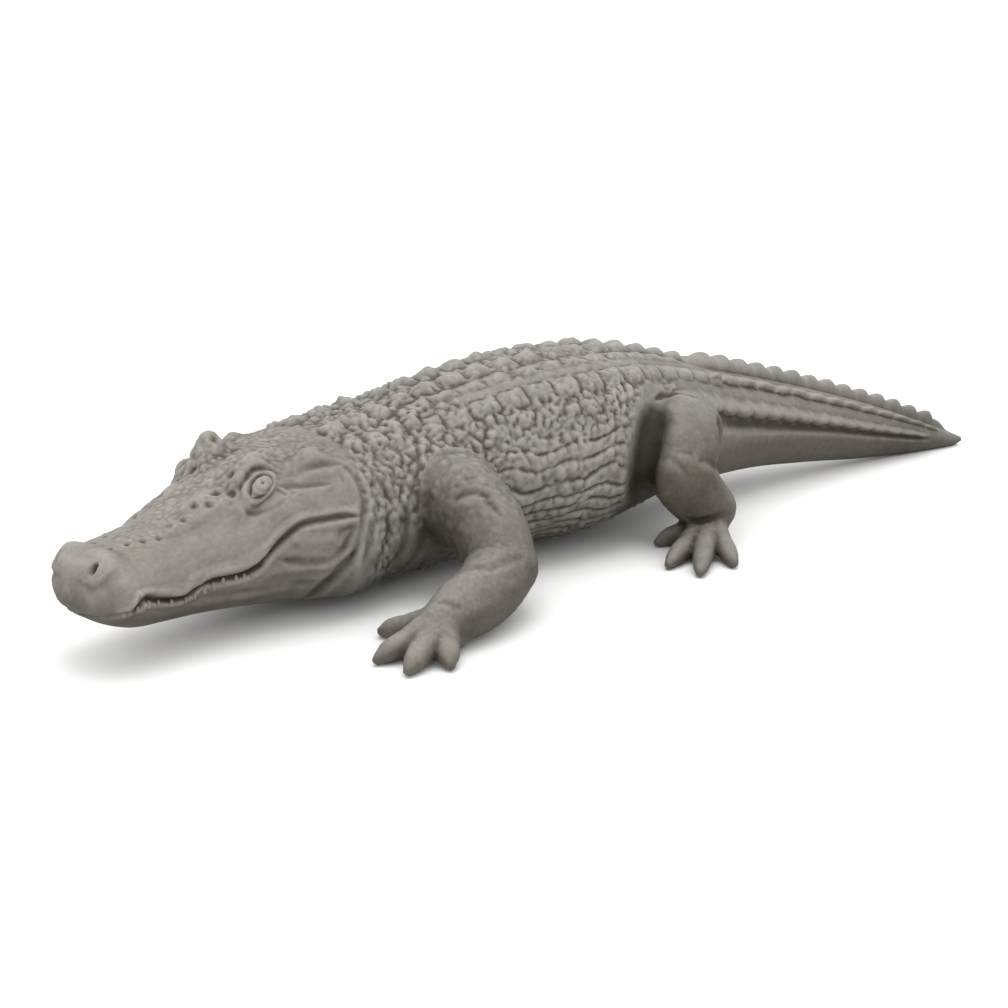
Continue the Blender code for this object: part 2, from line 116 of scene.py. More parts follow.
# place, half width, top, bottom, height of the widest line, upper and lower roundness
SECTIONS = np.array(
    [
        (0.0, 0.50, 5.75, 4.75, 5.20, 2.0, 2.0),
        (0.3, 1.85, 6.60, 4.10, 5.15, 2.1, 2.0),
        (1.1, 3.05, 7.35, 3.35, 5.05, 2.4, 2.1),
        (2.7, 3.70, 7.60, 2.50, 4.95, 2.6, 2.4),
        (5.1, 3.45, 8.15, 2.15, 4.80, 2.5, 3.0),
        (7.6, 3.85, 9.10, 2.00, 5.00, 2.3, 3.0),
        (10.2, 4.70, 10.20, 1.75, 5.30, 2.4, 3.0),
        (12.2, 5.40, 11.20, 1.50, 5.60, 2.6, 2.9),
        (14.8, 6.50, 11.70, 1.20, 5.70, 2.6, 2.7),
        (17.3, 7.20, 12.00, 0.90, 5.70, 2.5, 2.5),
        (20.4, 7.25, 12.40, 0.60, 5.80, 2.4, 2.4),
        (24.4, 7.25, 13.00, 0.35, 6.10, 2.3, 2.5),
        (28.5, 7.80, 13.75, 0.50, 6.60, 2.3, 2.4),
        (34.6, 8.75, 14.75, 0.70, 7.00, 2.3, 2.3),
        (40.7, 9.35, 15.40, 0.50, 7.10, 2.3, 2.3),
        (46.8, 8.75, 15.30, 1.10, 7.30, 2.3, 2.1),
        (53.0, 7.10, 14.25, 1.90, 7.30, 2.3, 2.1),
        (59.0, 5.60, 12.60, 1.90, 6.80, 2.2, 2.1),
        (66.2, 4.40, 11.00, 1.80, 6.10, 2.1, 2.0),
        (75.4, 3.25, 8.75, 1.10, 4.90, 2.0, 1.9),
        (84.5, 2.25, 6.20, 0.30, 3.40, 2.0, 1.9),
        (93.5, 1.25, 3.20, 0.00, 1.80, 2.0, 2.0),
        (98.5, 0.55, 1.40, 0.00, 0.70, 2.0, 2.0),
        (100.0, 0.15, 0.80, 0.40, 0.60, 2.0, 2.0),
    ]
)
# the lip is at this share all the way back, whatever its height over the ground
LIP_SHARE = 0.60
LIP_PLACES = np.array([0.0, 0.9, 1.9, 2.6, 4.0, 5.6, 6.9, 9.4, 10.9, 12.0, 13.0, 15.0, 17.0, 20.0])
LIP_HEIGHTS = np.array([4.0, 4.1, 4.5, 5.1, 4.6, 4.2, 4.9, 5.0, 5.8, 6.7, 7.3, 7.4, 7.3, 6.9])
LIP_END = (18.0, 23.0)
# swellings and hollows: place, share, reach along, reach round, height in metres
LEFT_BROW = (12.1, 0.150, 2.0, 0.10, 0.019)
RIGHT_BROW = (12.5, 0.125, 1.8, 0.11, 0.029)
PREORBITAL = (8.6, 0.12, 1.6, 0.09, 0.006)
EYE = (11.5, 0.29, 1.7, 0.09, 0.009)
UNDER_EYE = (10.6, 0.385, 2.2, 0.055, -0.003)
NOSTRIL = (1.4, 0.15, 1.3, 0.18, 0.007)
SKULL_CORNER = (15.9, 0.22, 1.4, 0.085, 0.010)
EAR_HOLLOW = (14.4, 0.37, 2.4, 0.075, -0.004)
MOUTH_PAD = (14.6, 0.68, 2.6, 0.085, 0.006)
JOWL = (17.6, 0.80, 4.6, 0.22, 0.010)
JAW_FOLD = (17.9, 0.60, 0.9, 0.30, -0.004)
BOTH_SIDES = (PREORBITAL, EYE, UNDER_EYE, NOSTRIL, SKULL_CORNER, EAR_HOLLOW, MOUTH_PAD, JOWL, JAW_FOLD)


def follow(x, knots, values):
    """A smooth curve through the knots, flat at every turning point."""
    x = np.clip(np.asarray(x, float), knots[0], knots[-1])
    steps = np.diff(knots)
    slopes = np.diff(values) / steps
    tangents = np.empty_like(values)
    tangents[1:-1] = (slopes[:-1] * steps[1:] + slopes[1:] * steps[:-1]) / (steps[1:] + steps[:-1])
    tangents[1:-1][slopes[:-1] * slopes[1:] <= 0] = 0.0
    tangents[0], tangents[-1] = slopes[0], slopes[-1]
    i = np.clip(np.searchsorted(knots, x, side="right") - 1, 0, len(knots) - 2)
    t = (x - knots[i]) / steps[i]
    blend = values[i] * (1 + 2 * t) * (1 - t) ** 2 + values[i + 1] * t * t * (3 - 2 * t)
    return blend + steps[i] * t * (1 - t) * (tangents[i] * (1 - t) - tangents[i + 1] * t)


def ease(x, low, high):
    """0 below low, 1 above high, and a smooth rise between them."""
    t = np.clip((np.asarray(x, float) - low) / (high - low), 0, 1)
    return t * t * (3 - 2 * t)


def hill(x, centre, reach):
    """A smooth bump, 1 at the centre and 0 past its reach."""
    t = np.clip(np.abs(np.asarray(x, float) - centre) / reach, 0, 1)
    return (1 - t * t) ** 2


spine_places = np.linspace(0, 100, 801)
spine_heading = HEAD_TURN * (1 - ease(spine_places, *NECK_BEND))
spine_heading = spine_heading + TAIL_TURN * ease(spine_places, *TAIL_BEND)
spine_step = spine_places[1] * ONE


def spine_run(direction):
    """How far the spine has run one way, from the snout to each of its places."""
    return np.concatenate([[0], np.cumsum((direction[1:] + direction[:-1]) / 2 * spine_step)])


spine_x, spine_y = spine_run(np.cos(spine_heading)), spine_run(np.sin(spine_heading))
spine_x -= np.interp(TRUNK_MIDDLE, spine_places, spine_x) + ORIGIN_BEHIND
spine_y -= np.interp(TRUNK_MIDDLE, spine_places, spine_y)


def plain_section(along, angle):
    """Side and height of the plain body, at a share of a half turn from the back (0) to the belly (1)."""
    width, top, bottom, middle, upper, lower = (
        follow(along, SECTIONS[:, 0], SECTIONS[:, column]) for column in range(1, 7)
    )
    sine, cosine = np.abs(np.sin(angle * math.pi)), np.cos(angle * math.pi)
    power = 2.0 / np.where(cosine > 0, upper, lower)
    reach = np.where(cosine > 0, top - middle, middle - bottom)
    height = middle + reach * np.sign(cosine) * np.abs(cosine) ** power
    return width * sine**power * ONE, height * ONE


# the share of the half turn at which the plain body is as high as the lip, for each place of the spine
lip_angles = np.linspace(0.30, 0.90, 61)
lip_table_heights = np.array([plain_section(spine_places, angle)[1] for angle in lip_angles])
lip_wanted = follow(spine_places, LIP_PLACES, LIP_HEIGHTS) * ONE
lip_table = [
    np.interp(-wanted, -heights, lip_angles) for wanted, heights in zip(lip_wanted, lip_table_heights.T)
]
SLOPE_STEP = 0.004  # the skin's slope is measured between two points this far round to either side


def skin(along, share, hand):
    """Points of the skin. hand is -1 on the animal's left and 1 on its right."""
    head = 1 - ease(along, *LIP_END)
    lip = head * np.interp(along, spine_places, lip_table) + (1 - head) * LIP_SHARE
    below = lip + (share - LIP_SHARE) / (1 - LIP_SHARE) * (1 - lip)
    angle = np.where(share < LIP_SHARE, share / LIP_SHARE * lip, below)
    side, height = plain_section(along, angle)
    before = plain_section(along, np.clip(angle - SLOPE_STEP, 0, 1))
    after = plain_section(along, np.clip(angle + SLOPE_STEP, 0, 1))
    run, rise = after[0] - before[0], after[1] - before[1]
    size = np.maximum(np.hypot(run, rise), 1e-9)
    brow = LEFT_BROW if hand < 0 else RIGHT_BROW
    out = sum(
        tall * hill(along, place, reach_along) * hill(share, way, reach_round)
        for place, way, reach_along, reach_round, tall in (brow, *BOTH_SIDES)
    )
    side = np.maximum(side - rise / size * out, 0.0) * ((share > 0) & (share < 1)) * hand
    height = np.maximum(height + run / size * out, 0.0)
    turn = np.interp(along, spine_places, spine_heading)
    x = np.interp(along, spine_places, spine_x) - np.sin(turn) * side
    y = np.interp(along, spine_places, spine_y) + np.cos(turn) * side
    return np.stack(np.broadcast_arrays(x, y, height), -1)


def tube(name, loops, place):
    """A closed skin over loops of points, with each point's place on the body kept as an attribute."""
    rings, around = loops.shape[:2]
    index = np.arange(rings * around).reshape(rings, around)
    turned = np.roll(index, -1, axis=1)
    quads = np.stack([index[:-1], turned[:-1], turned[1:], index[1:]], -1).reshape(-1, 4)
    a, b, c, d = (loops.reshape(-1, 3)[quads[:, k]] for k in range(4))
    volume = np.einsum("ij,ij->i", a, np.cross(b, c) + np.cross(c, d)).sum()
    faces = quads.tolist() + [index[0][::-1].tolist(), index[-1].tolist()]
    if volume < 0:
        faces = [face[::-1] for face in faces]
    mesh = bpy.data.meshes.new(name)
    mesh.from_pydata(loops.reshape(-1, 3), [], faces)
    keep(mesh, "place", place.reshape(-1, 3))
    return mesh


def skin_tube(name, places, columns):
    """The skin between two places, closed at both ends. columns are the shares from back to belly."""
    along, share = np.meshgrid(places, columns, indexing="ij")
    inner = slice(-2, 0, -1)
    loops = np.concatenate([skin(along, share, -1), skin(along, share, 1)[:, inner]], axis=1)
    left = np.stack([along, share, np.full_like(along, -1.0)], -1)
    right = np.stack([along, share, np.full_like(along, 1.0)], -1)
    return tube(name, loops, np.concatenate([left, right[:, inner]], axis=1))


def evaluated(piece):
    """The plain mesh that a piece's modifiers make."""
    graph = bpy.context.evaluated_depsgraph_get()
    made = bpy.data.meshes.new_from_object(piece.evaluated_get(graph))
    piece.modifiers.clear()
    return made


def link(name, mesh):
    piece = bpy.data.objects.new(name, mesh)
    bpy.context.scene.collection.objects.link(piece)
    return piece


def numbers(source, name, width):
    """One row of numbers for each item of a mesh's list."""
    values = np.zeros(len(source) * width, np.float32)
    source.foreach_get(name, values)
    return values.reshape(-1, width).astype(float)


def points_of(mesh):
    return numbers(mesh.vertices, "co", 3)


def normals_of(mesh):
    return numbers(mesh.vertex_normals, "vector", 3)


def read(mesh, name, width):
    """A point attribute as an array."""
    values = numbers(mesh.attributes[name].data, "vector" if width == 3 else "value", width)
    return values if width == 3 else values[:, 0]


def keep(mesh, name, values):
    """An array as a point attribute."""
    kind, field = ("FLOAT_VECTOR", "vector") if values.ndim == 2 else ("FLOAT", "value")
    attribute = mesh.attributes.get(name) or mesh.attributes.new(name, kind, "POINT")
    attribute.data.foreach_set(field, values.reshape(-1).astype(np.float32))


def move_to(mesh, points):
    mesh.vertices.foreach_set("co", points.reshape(-1).astype(np.float32))
    mesh.update()


def smoothed(mesh, values, times, share=1.0):
    """Values averaged with their neighbours a number of times. share says how far each point gives way."""
    ends = np.zeros(len(mesh.edges) * 2, np.int32)
    mesh.edges.foreach_get("vertices", ends)
    a, b = ends[0::2], ends[1::2]
    count = np.bincount(a, minlength=len(values)) + np.bincount(b, minlength=len(values))
    values = np.atleast_2d(values.T).T.copy()
    for _ in range(times):
        for column in range(values.shape[1]):
            v = values[:, column]
            total = np.bincount(a, v[b], len(v)) + np.bincount(b, v[a], len(v))
            values[:, column] = v + (total / count - v) * share
    return values if values.shape[1] > 1 else values[:, 0]


SOCKETS = {float: "Float", int: "Int", str: "String", type(None): "Object"}


def new_tree(name, **inputs):
    """A geometry tree, with an input for each name. The kind of its usual value is the input's kind."""
    tree = bpy.data.node_groups.new(name, "GeometryNodeTree")
    tree.interface.new_socket("Geometry", in_out="INPUT", socket_type="NodeSocketGeometry")
    tree.interface.new_socket("Geometry", in_out="OUTPUT", socket_type="NodeSocketGeometry")
    for label, usual in inputs.items():
        kind = f"NodeSocket{SOCKETS[type(usual)]}"
        socket = tree.interface.new_socket(label.replace("_", " "), in_out="INPUT", socket_type=kind)
        if usual is not None:
            socket.default_value = usual
    return tree, tree.nodes.new("NodeGroupInput").outputs


def put(tree, kind, *wires, **settings):
    """Adds a node, sets it up and wires its inputs in order. None leaves an input as it is."""
    node = tree.nodes.new(kind)
    for key, value in settings.items():
        setattr(node, key, value)
    free = [socket for socket in node.inputs if socket.enabled]
    for socket, wire in zip(free, wires):
        if isinstance(wire, bpy.types.NodeSocket):
            tree.links.new(wire, socket)
        elif wire is not None:
            socket.default_value = wire
    return node


def sum_of(tree, operation, *wires):
    return put(tree, "ShaderNodeMath", *wires, operation=operation).outputs[0]


def sums(tree):
    """Adding, taking away, multiplying and dividing inside a tree."""
    return [partial(sum_of, tree, kind) for kind in ("ADD", "SUBTRACT", "MULTIPLY", "DIVIDE")]


def between(tree, factor, first, last):
    """first where the factor is 0, last where it is 1."""
    return put(tree, "ShaderNodeMix", factor, first, last, data_type="FLOAT").outputs[0]


def smooth_step(tree, value, low, high, first, last):
    """first up to low, last from high on, and a smooth change between them."""
    wires = (value, low, high, first, last)
    return put(tree, "ShaderNodeMapRange", *wires, interpolation_type="SMOOTHSTEP").outputs[0]


def named(tree, name, kind="FLOAT"):
    return put(tree, "GeometryNodeInputNamedAttribute", name, data_type=kind).outputs[0]


def close_tree(tree, mesh, finish):
    """Makes the tree's mesh real, gives it the finish and sends it out."""
    realised = put(tree, "GeometryNodeRealizeInstances", mesh).outputs[0]
    painted = put(tree, "GeometryNodeSetMaterial", realised, None, finish).outputs[0]
    tree.links.new(painted, tree.nodes.new("NodeGroupOutput").inputs[0])


def run_tree(piece, tree, **inputs):
    """Puts the tree on a piece, with its inputs set by their identifiers."""
    modifier = piece.modifiers.new(tree.name, "NODES")
    modifier.node_group = tree
    identifiers = {item.name: item.identifier for item in tree.interface.items_tree if item.in_out == "INPUT"}
    for label, value in inputs.items():
        modifier[identifiers[label.replace("_", " ")]] = value


# The finish: grey resin with stone dust in it, matt and even, with painted shade that makes it a little browner
# and darker in hollows, deep cuts and where it faces down, painted highlight on its ridges, and the fine grain
# of the mould over everything.
stone = bpy.data.materials.new("warm grey cast stone finish")
stone.use_nodes = True
paint = stone.node_tree
shader = paint.nodes["Principled BSDF"]
shader.inputs["Roughness"].default_value = 0.78
shader.inputs["Specular IOR Level"].default_value = 0.32
where = put(paint, "ShaderNodeTexCoord").outputs["Object"]
# noises in the stone, by size, number of layers and roughness
cloud, mottle, speckle, warmth, grain = (
    put(paint, "ShaderNodeTexNoise", where, *noise).outputs[0]
    for noise in ((7.0, 5.0, 0.55), (42.0, 6.0, 0.72), (190.0, 3.0, 0.6), (3.1, 2.0, 0.5), (420.0, 4.0, 0.6))
)


def tint(factor, low, high, pale, dark):
    """A colour that goes from one tone to the other as the factor rises."""
    ramp = paint.nodes.new("ShaderNodeValToRGB")
    ramp.color_ramp.elements[0].position, ramp.color_ramp.elements[1].position = low, high
    ramp.color_ramp.elements[0].color, ramp.color_ramp.elements[1].color = pale, dark
    paint.links.new(factor, ramp.inputs[0])
    return ramp.outputs[0]


def mixed(kind, factor, first, second):
    node = paint.nodes.new("ShaderNodeMix")
    node.data_type, node.blend_type = "RGBA", kind
    for socket, wire in ((node.inputs[0], factor), (node.inputs[6], first), (node.inputs[7], second)):
        if isinstance(wire, bpy.types.NodeSocket):
            paint.links.new(wire, socket)
        else:
            socket.default_value = wire
    return node.outputs[2]


BLACK, WHITE = (0, 0, 0, 1), (1, 1, 1, 1)
base = tint(cloud, 0.35, 0.68, (0.192, 0.183, 0.164, 1), (0.247, 0.237, 0.217, 1))
base = mixed("MULTIPLY", 1.0, base, tint(mottle, 0.38, 0.60, (0.74, 0.74, 0.73, 1), WHITE))
base = mixed("MIX", tint(warmth, 0.47, 0.64, BLACK, (0.45, 0.45, 0.45, 1)), base, (0.222, 0.196, 0.176, 1))
base = mixed("MULTIPLY", 0.5, base, tint(speckle, 0.3, 0.7, (0.72, 0.70, 0.66, 1), (1.12, 1.12, 1.12, 1)))
hollow, shade, cut_shadow = (
    put(paint, "ShaderNodeAttribute", attribute_name=name).outputs["Fac"]
    for name in ("hollow", "shade", "cut_shadow")
)
# painted shade and painted highlight: browner and darker in the skin's hollows, paler on its ridges
base = mixed("MULTIPLY", tint(hollow, 0.5, 1.0, BLACK, WHITE), base, (0.34, 0.31, 0.26, 1))
base = mixed("ADD", tint(hollow, 0.1, 0.5, (0.22, 0.22, 0.22, 1), BLACK), base, (0.30, 0.29, 0.27, 1))
# painted shade: darker where the skin faces down, on the legs, the tail and the snout's tip
base = mixed("MULTIPLY", tint(shade, 0.2, 1.0, BLACK, WHITE), base, (0.36, 0.34, 0.30, 1))
# painted shadow: darker in the deep cuts, below the arms and before the thighs
base = mixed("MULTIPLY", tint(cut_shadow, 0.0, 1.0, BLACK, WHITE), base, (0.24, 0.22, 0.18, 1))
paint.links.new(base, shader.inputs["Base Color"])
grain_bump = paint.nodes.new("ShaderNodeBump")
grain_bump.inputs["Strength"].default_value, grain_bump.inputs["Distance"].default_value = 0.35, 0.0006
paint.links.new(grain, grain_bump.inputs["Height"])
paint.links.new(grain_bump.outputs[0], shader.inputs["Normal"])

# Three trees make what repeats on the skin. One raises a row of keeled plates along a line of the
# body, one raises a field of scales with grooves between them, and one presses long folds.
def raise_skin(tree, mesh, height):
    """Lifts every point along its stored outward direction, and closes the tree."""
    lift = put(tree, "ShaderNodeVectorMath", named(tree, "out", "FLOAT_VECTOR"), operation="SCALE")
    tree.links.new(height, lift.inputs["Scale"])
    raised = put(tree, "GeometryNodeSetPosition", mesh, None, None, lift.outputs[0]).outputs[0]
    close_tree(tree, raised, stone)


plate_tree, given = new_tree(
    "row of keeled plates", Row=0.1, Row_at_the_end=0.1, Reach=0.05, Height=0.01, Pitch=2.4, Start=20.0,
    Stop=50.0, Fade=1.0, Peak=0.62, Level=0.0, Seed=1, Square=1.0, Below=1.0, Scallop=0.0, Wander=0.006,
    Steady=0.7,
)
plate_sum, (plus, minus, times, over) = partial(sum_of, plate_tree), sums(plate_tree)
place = put(plate_tree, "ShaderNodeSeparateXYZ", named(plate_tree, "place", "FLOAT_VECTOR")).outputs
# each plate rises to its peak, falls behind it faster, and is a little lower or higher by luck
pitches = over(minus(place[0], given["Start"]), given["Pitch"])
phase, plate_number = plate_sum("FRACT", pitches), plate_sum("FLOOR", pitches)
up_part = plate_sum("SINE", times(over(phase, given["Peak"]), math.pi / 2))
past = over(minus(phase, given["Peak"]), minus(1.0, given["Peak"]))
down_part = plate_sum("COSINE", times(past, math.pi / 2))
saw = between(plate_tree, plate_sum("GREATER_THAN", phase, given["Peak"]), up_part, down_part)
saw = plate_sum("POWER", plate_sum("MAXIMUM", saw, 0.0), given["Square"])
luck = (given["Steady"], 1.0, plate_number, given["Seed"])
luck = put(plate_tree, "FunctionNodeRandomValue", *luck, data_type="FLOAT").outputs[1]
saw = between(plate_tree, given["Level"], times(saw, luck), 1.0)
# the row's line on the skin, which wanders a little and may be scalloped
line = (place[0], given["Start"], given["Stop"], given["Row"], given["Row at the end"])
line = put(plate_tree, "ShaderNodeMapRange", *line).outputs[0]
drift = put(plate_tree, "ShaderNodeTexNoise", noise_dimensions="1D")
drift_place = plate_sum("MULTIPLY_ADD", given["Seed"], 7.3, times(place[0], 0.35))
plate_tree.links.new(drift_place, drift.inputs["W"])
drift.inputs["Scale"].default_value = 1.0
line = plate_sum("MULTIPLY_ADD", minus(drift.outputs[0], 0.5), times(given["Wander"], 2.0), line)
from_middle = times(plate_sum("ABSOLUTE", minus(phase, 0.5)), 2.0)
bite = times(plate_sum("POWER", from_middle, 3.0), given["Scallop"])
# how far a point is off that line, as a part of the row's reach
off_line = minus(place[1], minus(line, bite))
squeeze = between(plate_tree, plate_sum("GREATER_THAN", off_line, 0.0), 1.0, given["Below"])
off_line = over(plate_sum("ABSOLUTE", off_line), times(given["Reach"], squeeze))
off_line = plate_sum("MINIMUM", off_line, 1.0)
round_part = minus(1.0, times(off_line, off_line))
round_part = plate_sum("POWER", round_part, times(given["Square"], 2.0))
fade_in = smooth_step(plate_tree, place[0], given["Start"], plus(given["Start"], given["Fade"]), 0.0, 1.0)
fade_out = smooth_step(plate_tree, place[0], minus(given["Stop"], given["Fade"]), given["Stop"], 1.0, 0.0)
tall = times(given["Height"], saw)
for factor in (round_part, fade_in, fade_out, named(plate_tree, "on_body")):
    tall = times(tall, factor)
raise_skin(plate_tree, given["Geometry"], tall)

scale_tree, given = new_tree(
    "field of scales", Cells="cells", Where="where", Height=0.002, Groove=0.3, Randomness=0.7, Uneven=0.3,
    Lump_size=0.03, Soft=0.0,
)
plus, minus, times, over = sums(scale_tree)
cells, strength = named(scale_tree, given["Cells"], "FLOAT_VECTOR"), named(scale_tree, given["Where"])
edge = put(scale_tree, "ShaderNodeTexVoronoi", feature="DISTANCE_TO_EDGE")
cell = put(scale_tree, "ShaderNodeTexVoronoi", feature="F1")
for texture in (edge, cell):
    scale_tree.links.new(cells, texture.inputs["Vector"])
    scale_tree.links.new(given["Randomness"], texture.inputs["Randomness"])
    texture.inputs["Scale"].default_value = 1.0
dome = smooth_step(scale_tree, edge.outputs["Distance"], 0.0, given["Groove"], 0.0, 1.0)
knob = smooth_step(scale_tree, cell.outputs["Distance"], 0.08, 0.62, 1.0, 0.0)
dome = between(scale_tree, given["Soft"], dome, knob)
luck = put(scale_tree, "ShaderNodeSeparateXYZ", cell.outputs["Color"]).outputs[0]
tall = minus(times(dome, sum_of(scale_tree, "MULTIPLY_ADD", luck, 0.8, 0.5)), 0.55)
lumps = put(scale_tree, "ShaderNodeTexNoise", put(scale_tree, "GeometryNodeInputPosition").outputs[0])
scale_tree.links.new(over(1.0, given["Lump size"]), lumps.inputs["Scale"])
lumps.inputs["Detail"].default_value = 4.0
tall = plus(tall, times(minus(lumps.outputs[0], 0.5), given["Uneven"]))
raise_skin(scale_tree, given["Geometry"], times(times(tall, given["Height"]), strength))

fold_tree, given = new_tree("long folds", Cells="cells", Where="where", Depth=0.004, Width=0.2)
minus, times = sums(fold_tree)[1:3]
cells, strength = named(fold_tree, given["Cells"], "FLOAT_VECTOR"), named(fold_tree, given["Where"])
row = sum_of(fold_tree, "FRACT", put(fold_tree, "ShaderNodeSeparateXYZ", cells).outputs[1])
to_groove = minus(0.5, sum_of(fold_tree, "ABSOLUTE", minus(row, 0.5)))
groove = smooth_step(fold_tree, to_groove, 0.0, given["Width"], 1.0, 0.0)
wear = put(fold_tree, "ShaderNodeTexNoise", put(fold_tree, "GeometryNodeInputPosition").outputs[0], 22.0)
wear = put(fold_tree, "ShaderNodeMapRange", wear.outputs[0], 0.35, 0.62, 0.35, 1.0).outputs[0]
deep = times(times(groove, wear), times(given["Depth"], -1.0))
raise_skin(fold_tree, given["Geometry"], times(deep, strength))


def fold(points, line, width, depth, puff, blunt=False):
    """How far a fold along a line lifts each point: a groove with puffed edges, or a ridge.

    A fold thins out towards both ends, unless it is blunt.
    """
    out, reach = np.zeros(len(points)), 3.0 * width
    low, high = line.min(axis=0) - reach, line.max(axis=0) + reach
    close = np.flatnonzero(((points > low) & (points < high)).all(axis=1))
    near, spot = np.full(len(close), 9.0), np.zeros(len(close))
    for number, (start, end) in enumerate(zip(line, line[1:])):
        run = end - start
        t = np.clip((points[close] - start) @ run / max(run @ run, 1e-12), 0, 1)
        gap = np.linalg.norm(points[close] - start - t[:, None] * run, axis=1)
        spot = np.where(gap < near, (number + t) / (len(line) - 1), spot)
        near = np.minimum(near, gap)
    thin = 1.0 if blunt else 0.35 + 0.65 * ease(spot, 0, 0.25) * (1 - ease(spot, 0.75, 1))
    fade = 1.0 if blunt else ease(spot, 0, 0.12) * (1 - ease(spot, 0.88, 1))
    near = near / (width * thin)
    out[close] = depth * fade * thin * (hill(near, 0.0, 1.0) - puff * hill(near, 1.45, 1.2))
    return out


def stroke(points, marks, hand, width, depth, puff):
    """A fold along marks on one side of the skin, each a place and a share."""
    marks = np.array(marks, float)
    fine = np.linspace(0, len(marks) - 1, 6 * len(marks))
    knots = np.arange(len(marks))
    line = skin(follow(fine, knots, marks[:, 0]), follow(fine, knots, marks[:, 1]), hand)
    return fold(points, line, width, depth, puff)


# folds of the head: marks of place and share, width, depth. A height above zero is a ridge.
HEAD_FOLDS = (
    # the bag below the eye, and wrinkles behind it
    ([(10.2, 0.30), (10.7, 0.375), (11.5, 0.425), (12.3, 0.445), (13.1, 0.44)], 0.0053, -0.0011),
    ([(12.5, 0.36), (12.9, 0.40), (13.0, 0.43)], 0.0044, -0.0012),
    ([(13.0, 0.37), (13.4, 0.41), (13.4, 0.44)], 0.0044, -0.0010),
    # creases behind the eye, with the ear's flap between them
    ([(12.6, 0.345), (13.4, 0.375), (14.2, 0.392), (15.2, 0.405), (16.3, 0.418)], 0.0055, -0.0017),
    ([(13.4, 0.320), (14.2, 0.302), (15.4, 0.292), (16.6, 0.300), (17.7, 0.325)], 0.0088, -0.0022),
    ([(13.8, 0.360), (14.8, 0.345), (15.8, 0.340), (16.9, 0.355)], 0.0100, 0.0016),
    # the shut mouth, deepest at the back where the cheek hangs over it
    ([(0.3, 0.70), (0.7, 0.66), (1.2, 0.645), (1.8, 0.640), (2.3, 0.645)], 0.0050, -0.0036),
    ([(2.1, 0.70), (2.4, 0.655), (2.7, 0.615), (3.0, 0.602)], 0.0062, -0.0070),
    ([(2.5, 0.612), (2.9, 0.604), (3.9, 0.604), (5.2, 0.607), (6.4, 0.611), (7.6, 0.606)], 0.0058, -0.0075),
    ([(6.4, 0.611), (7.6, 0.606), (8.6, 0.604), (9.6, 0.606), (10.8, 0.609), (11.8, 0.606)], 0.0062, -0.0078),
    ([(10.4, 0.608), (11.4, 0.607), (12.7, 0.603), (13.5, 0.598), (15.2, 0.588), (16.4, 0.588), (17.6, 0.60)],
     0.0070, -0.0062),
    # the pad of the lower lip: soft lines below it, and a swelling between it and the mouth
    ([(11.9, 0.632), (12.7, 0.652), (13.6, 0.668), (14.6, 0.668), (15.8, 0.650), (17.2, 0.612)],
     0.0103, -0.0024),
    ([(12.6, 0.622), (13.6, 0.630), (14.8, 0.628), (15.9, 0.615)], 0.0140, 0.0022),
    ([(10.4, 0.672), (11.6, 0.686), (12.8, 0.703), (14.0, 0.706), (15.2, 0.690), (16.3, 0.660)],
     0.0098, -0.0015),
    ([(8.6, 0.690), (10.2, 0.705), (11.8, 0.725), (13.4, 0.745), (14.6, 0.745)], 0.0098, -0.0012),
    ([(6.0, 0.68), (7.6, 0.685), (9.2, 0.70), (10.8, 0.725)], 0.0092, -0.0009),
    # folds where the jaw ends and the neck begins
    ([(17.2, 0.30), (17.9, 0.38), (18.15, 0.46), (18.1, 0.55), (17.6, 0.613), (17.0, 0.650), (16.3, 0.69)],
     0.0098, -0.0028),
    ([(17.0, 0.645), (16.3, 0.680), (15.6, 0.710), (15.1, 0.76), (14.9, 0.83), (14.9, 0.95)],
     0.0132, -0.0043),
    ([(16.7, 0.38), (17.1, 0.44), (17.1, 0.50), (17.0, 0.555)], 0.0080, -0.0013),
    ([(18.5, 0.34), (19.1, 0.42), (19.1, 0.52), (18.6, 0.60), (17.8, 0.66), (17.0, 0.72)], 0.0103, -0.0022),
    ([(19.7, 0.38), (20.3, 0.46), (20.3, 0.56), (19.7, 0.64), (18.8, 0.71), (18.0, 0.79)], 0.0115, -0.0022),
    ([(21.4, 0.42), (21.9, 0.50), (21.8, 0.58), (21.2, 0.66), (20.3, 0.75)], 0.0121, -0.0021),
    ([(23.4, 0.46), (23.8, 0.54), (23.6, 0.62), (22.8, 0.72)], 0.0121, -0.0020),
    # soft lines on the upper jaw, and the ridge that runs forward from the brow
    ([(3.4, 0.47), (4.8, 0.46), (6.4, 0.455), (8.0, 0.46)], 0.0080, -0.0006),
    ([(4.4, 0.52), (6.0, 0.51), (7.8, 0.515), (9.2, 0.53)], 0.0080, -0.0006),
    ([(5.4, 0.19), (6.6, 0.205), (8.0, 0.215), (9.4, 0.215), (10.6, 0.20)], 0.0130, 0.0036),
    ([(6.6, 0.29), (8.0, 0.31), (9.6, 0.33), (10.4, 0.36)], 0.0115, -0.0012),
    ([(10.2, 0.185), (11.0, 0.175), (12.0, 0.185), (12.9, 0.225), (13.6, 0.29)], 0.0085, 0.0030),
    # the nostril's rim and the crease below it
    ([(0.27, 0.09), (0.42, 0.19), (0.60, 0.245), (0.95, 0.262), (1.28, 0.235)], 0.0048, 0.0018),
    ([(0.17, 0.10), (0.34, 0.21), (0.55, 0.285), (1.0, 0.315), (1.5, 0.30), (1.9, 0.25)], 0.0080, -0.0013),
)
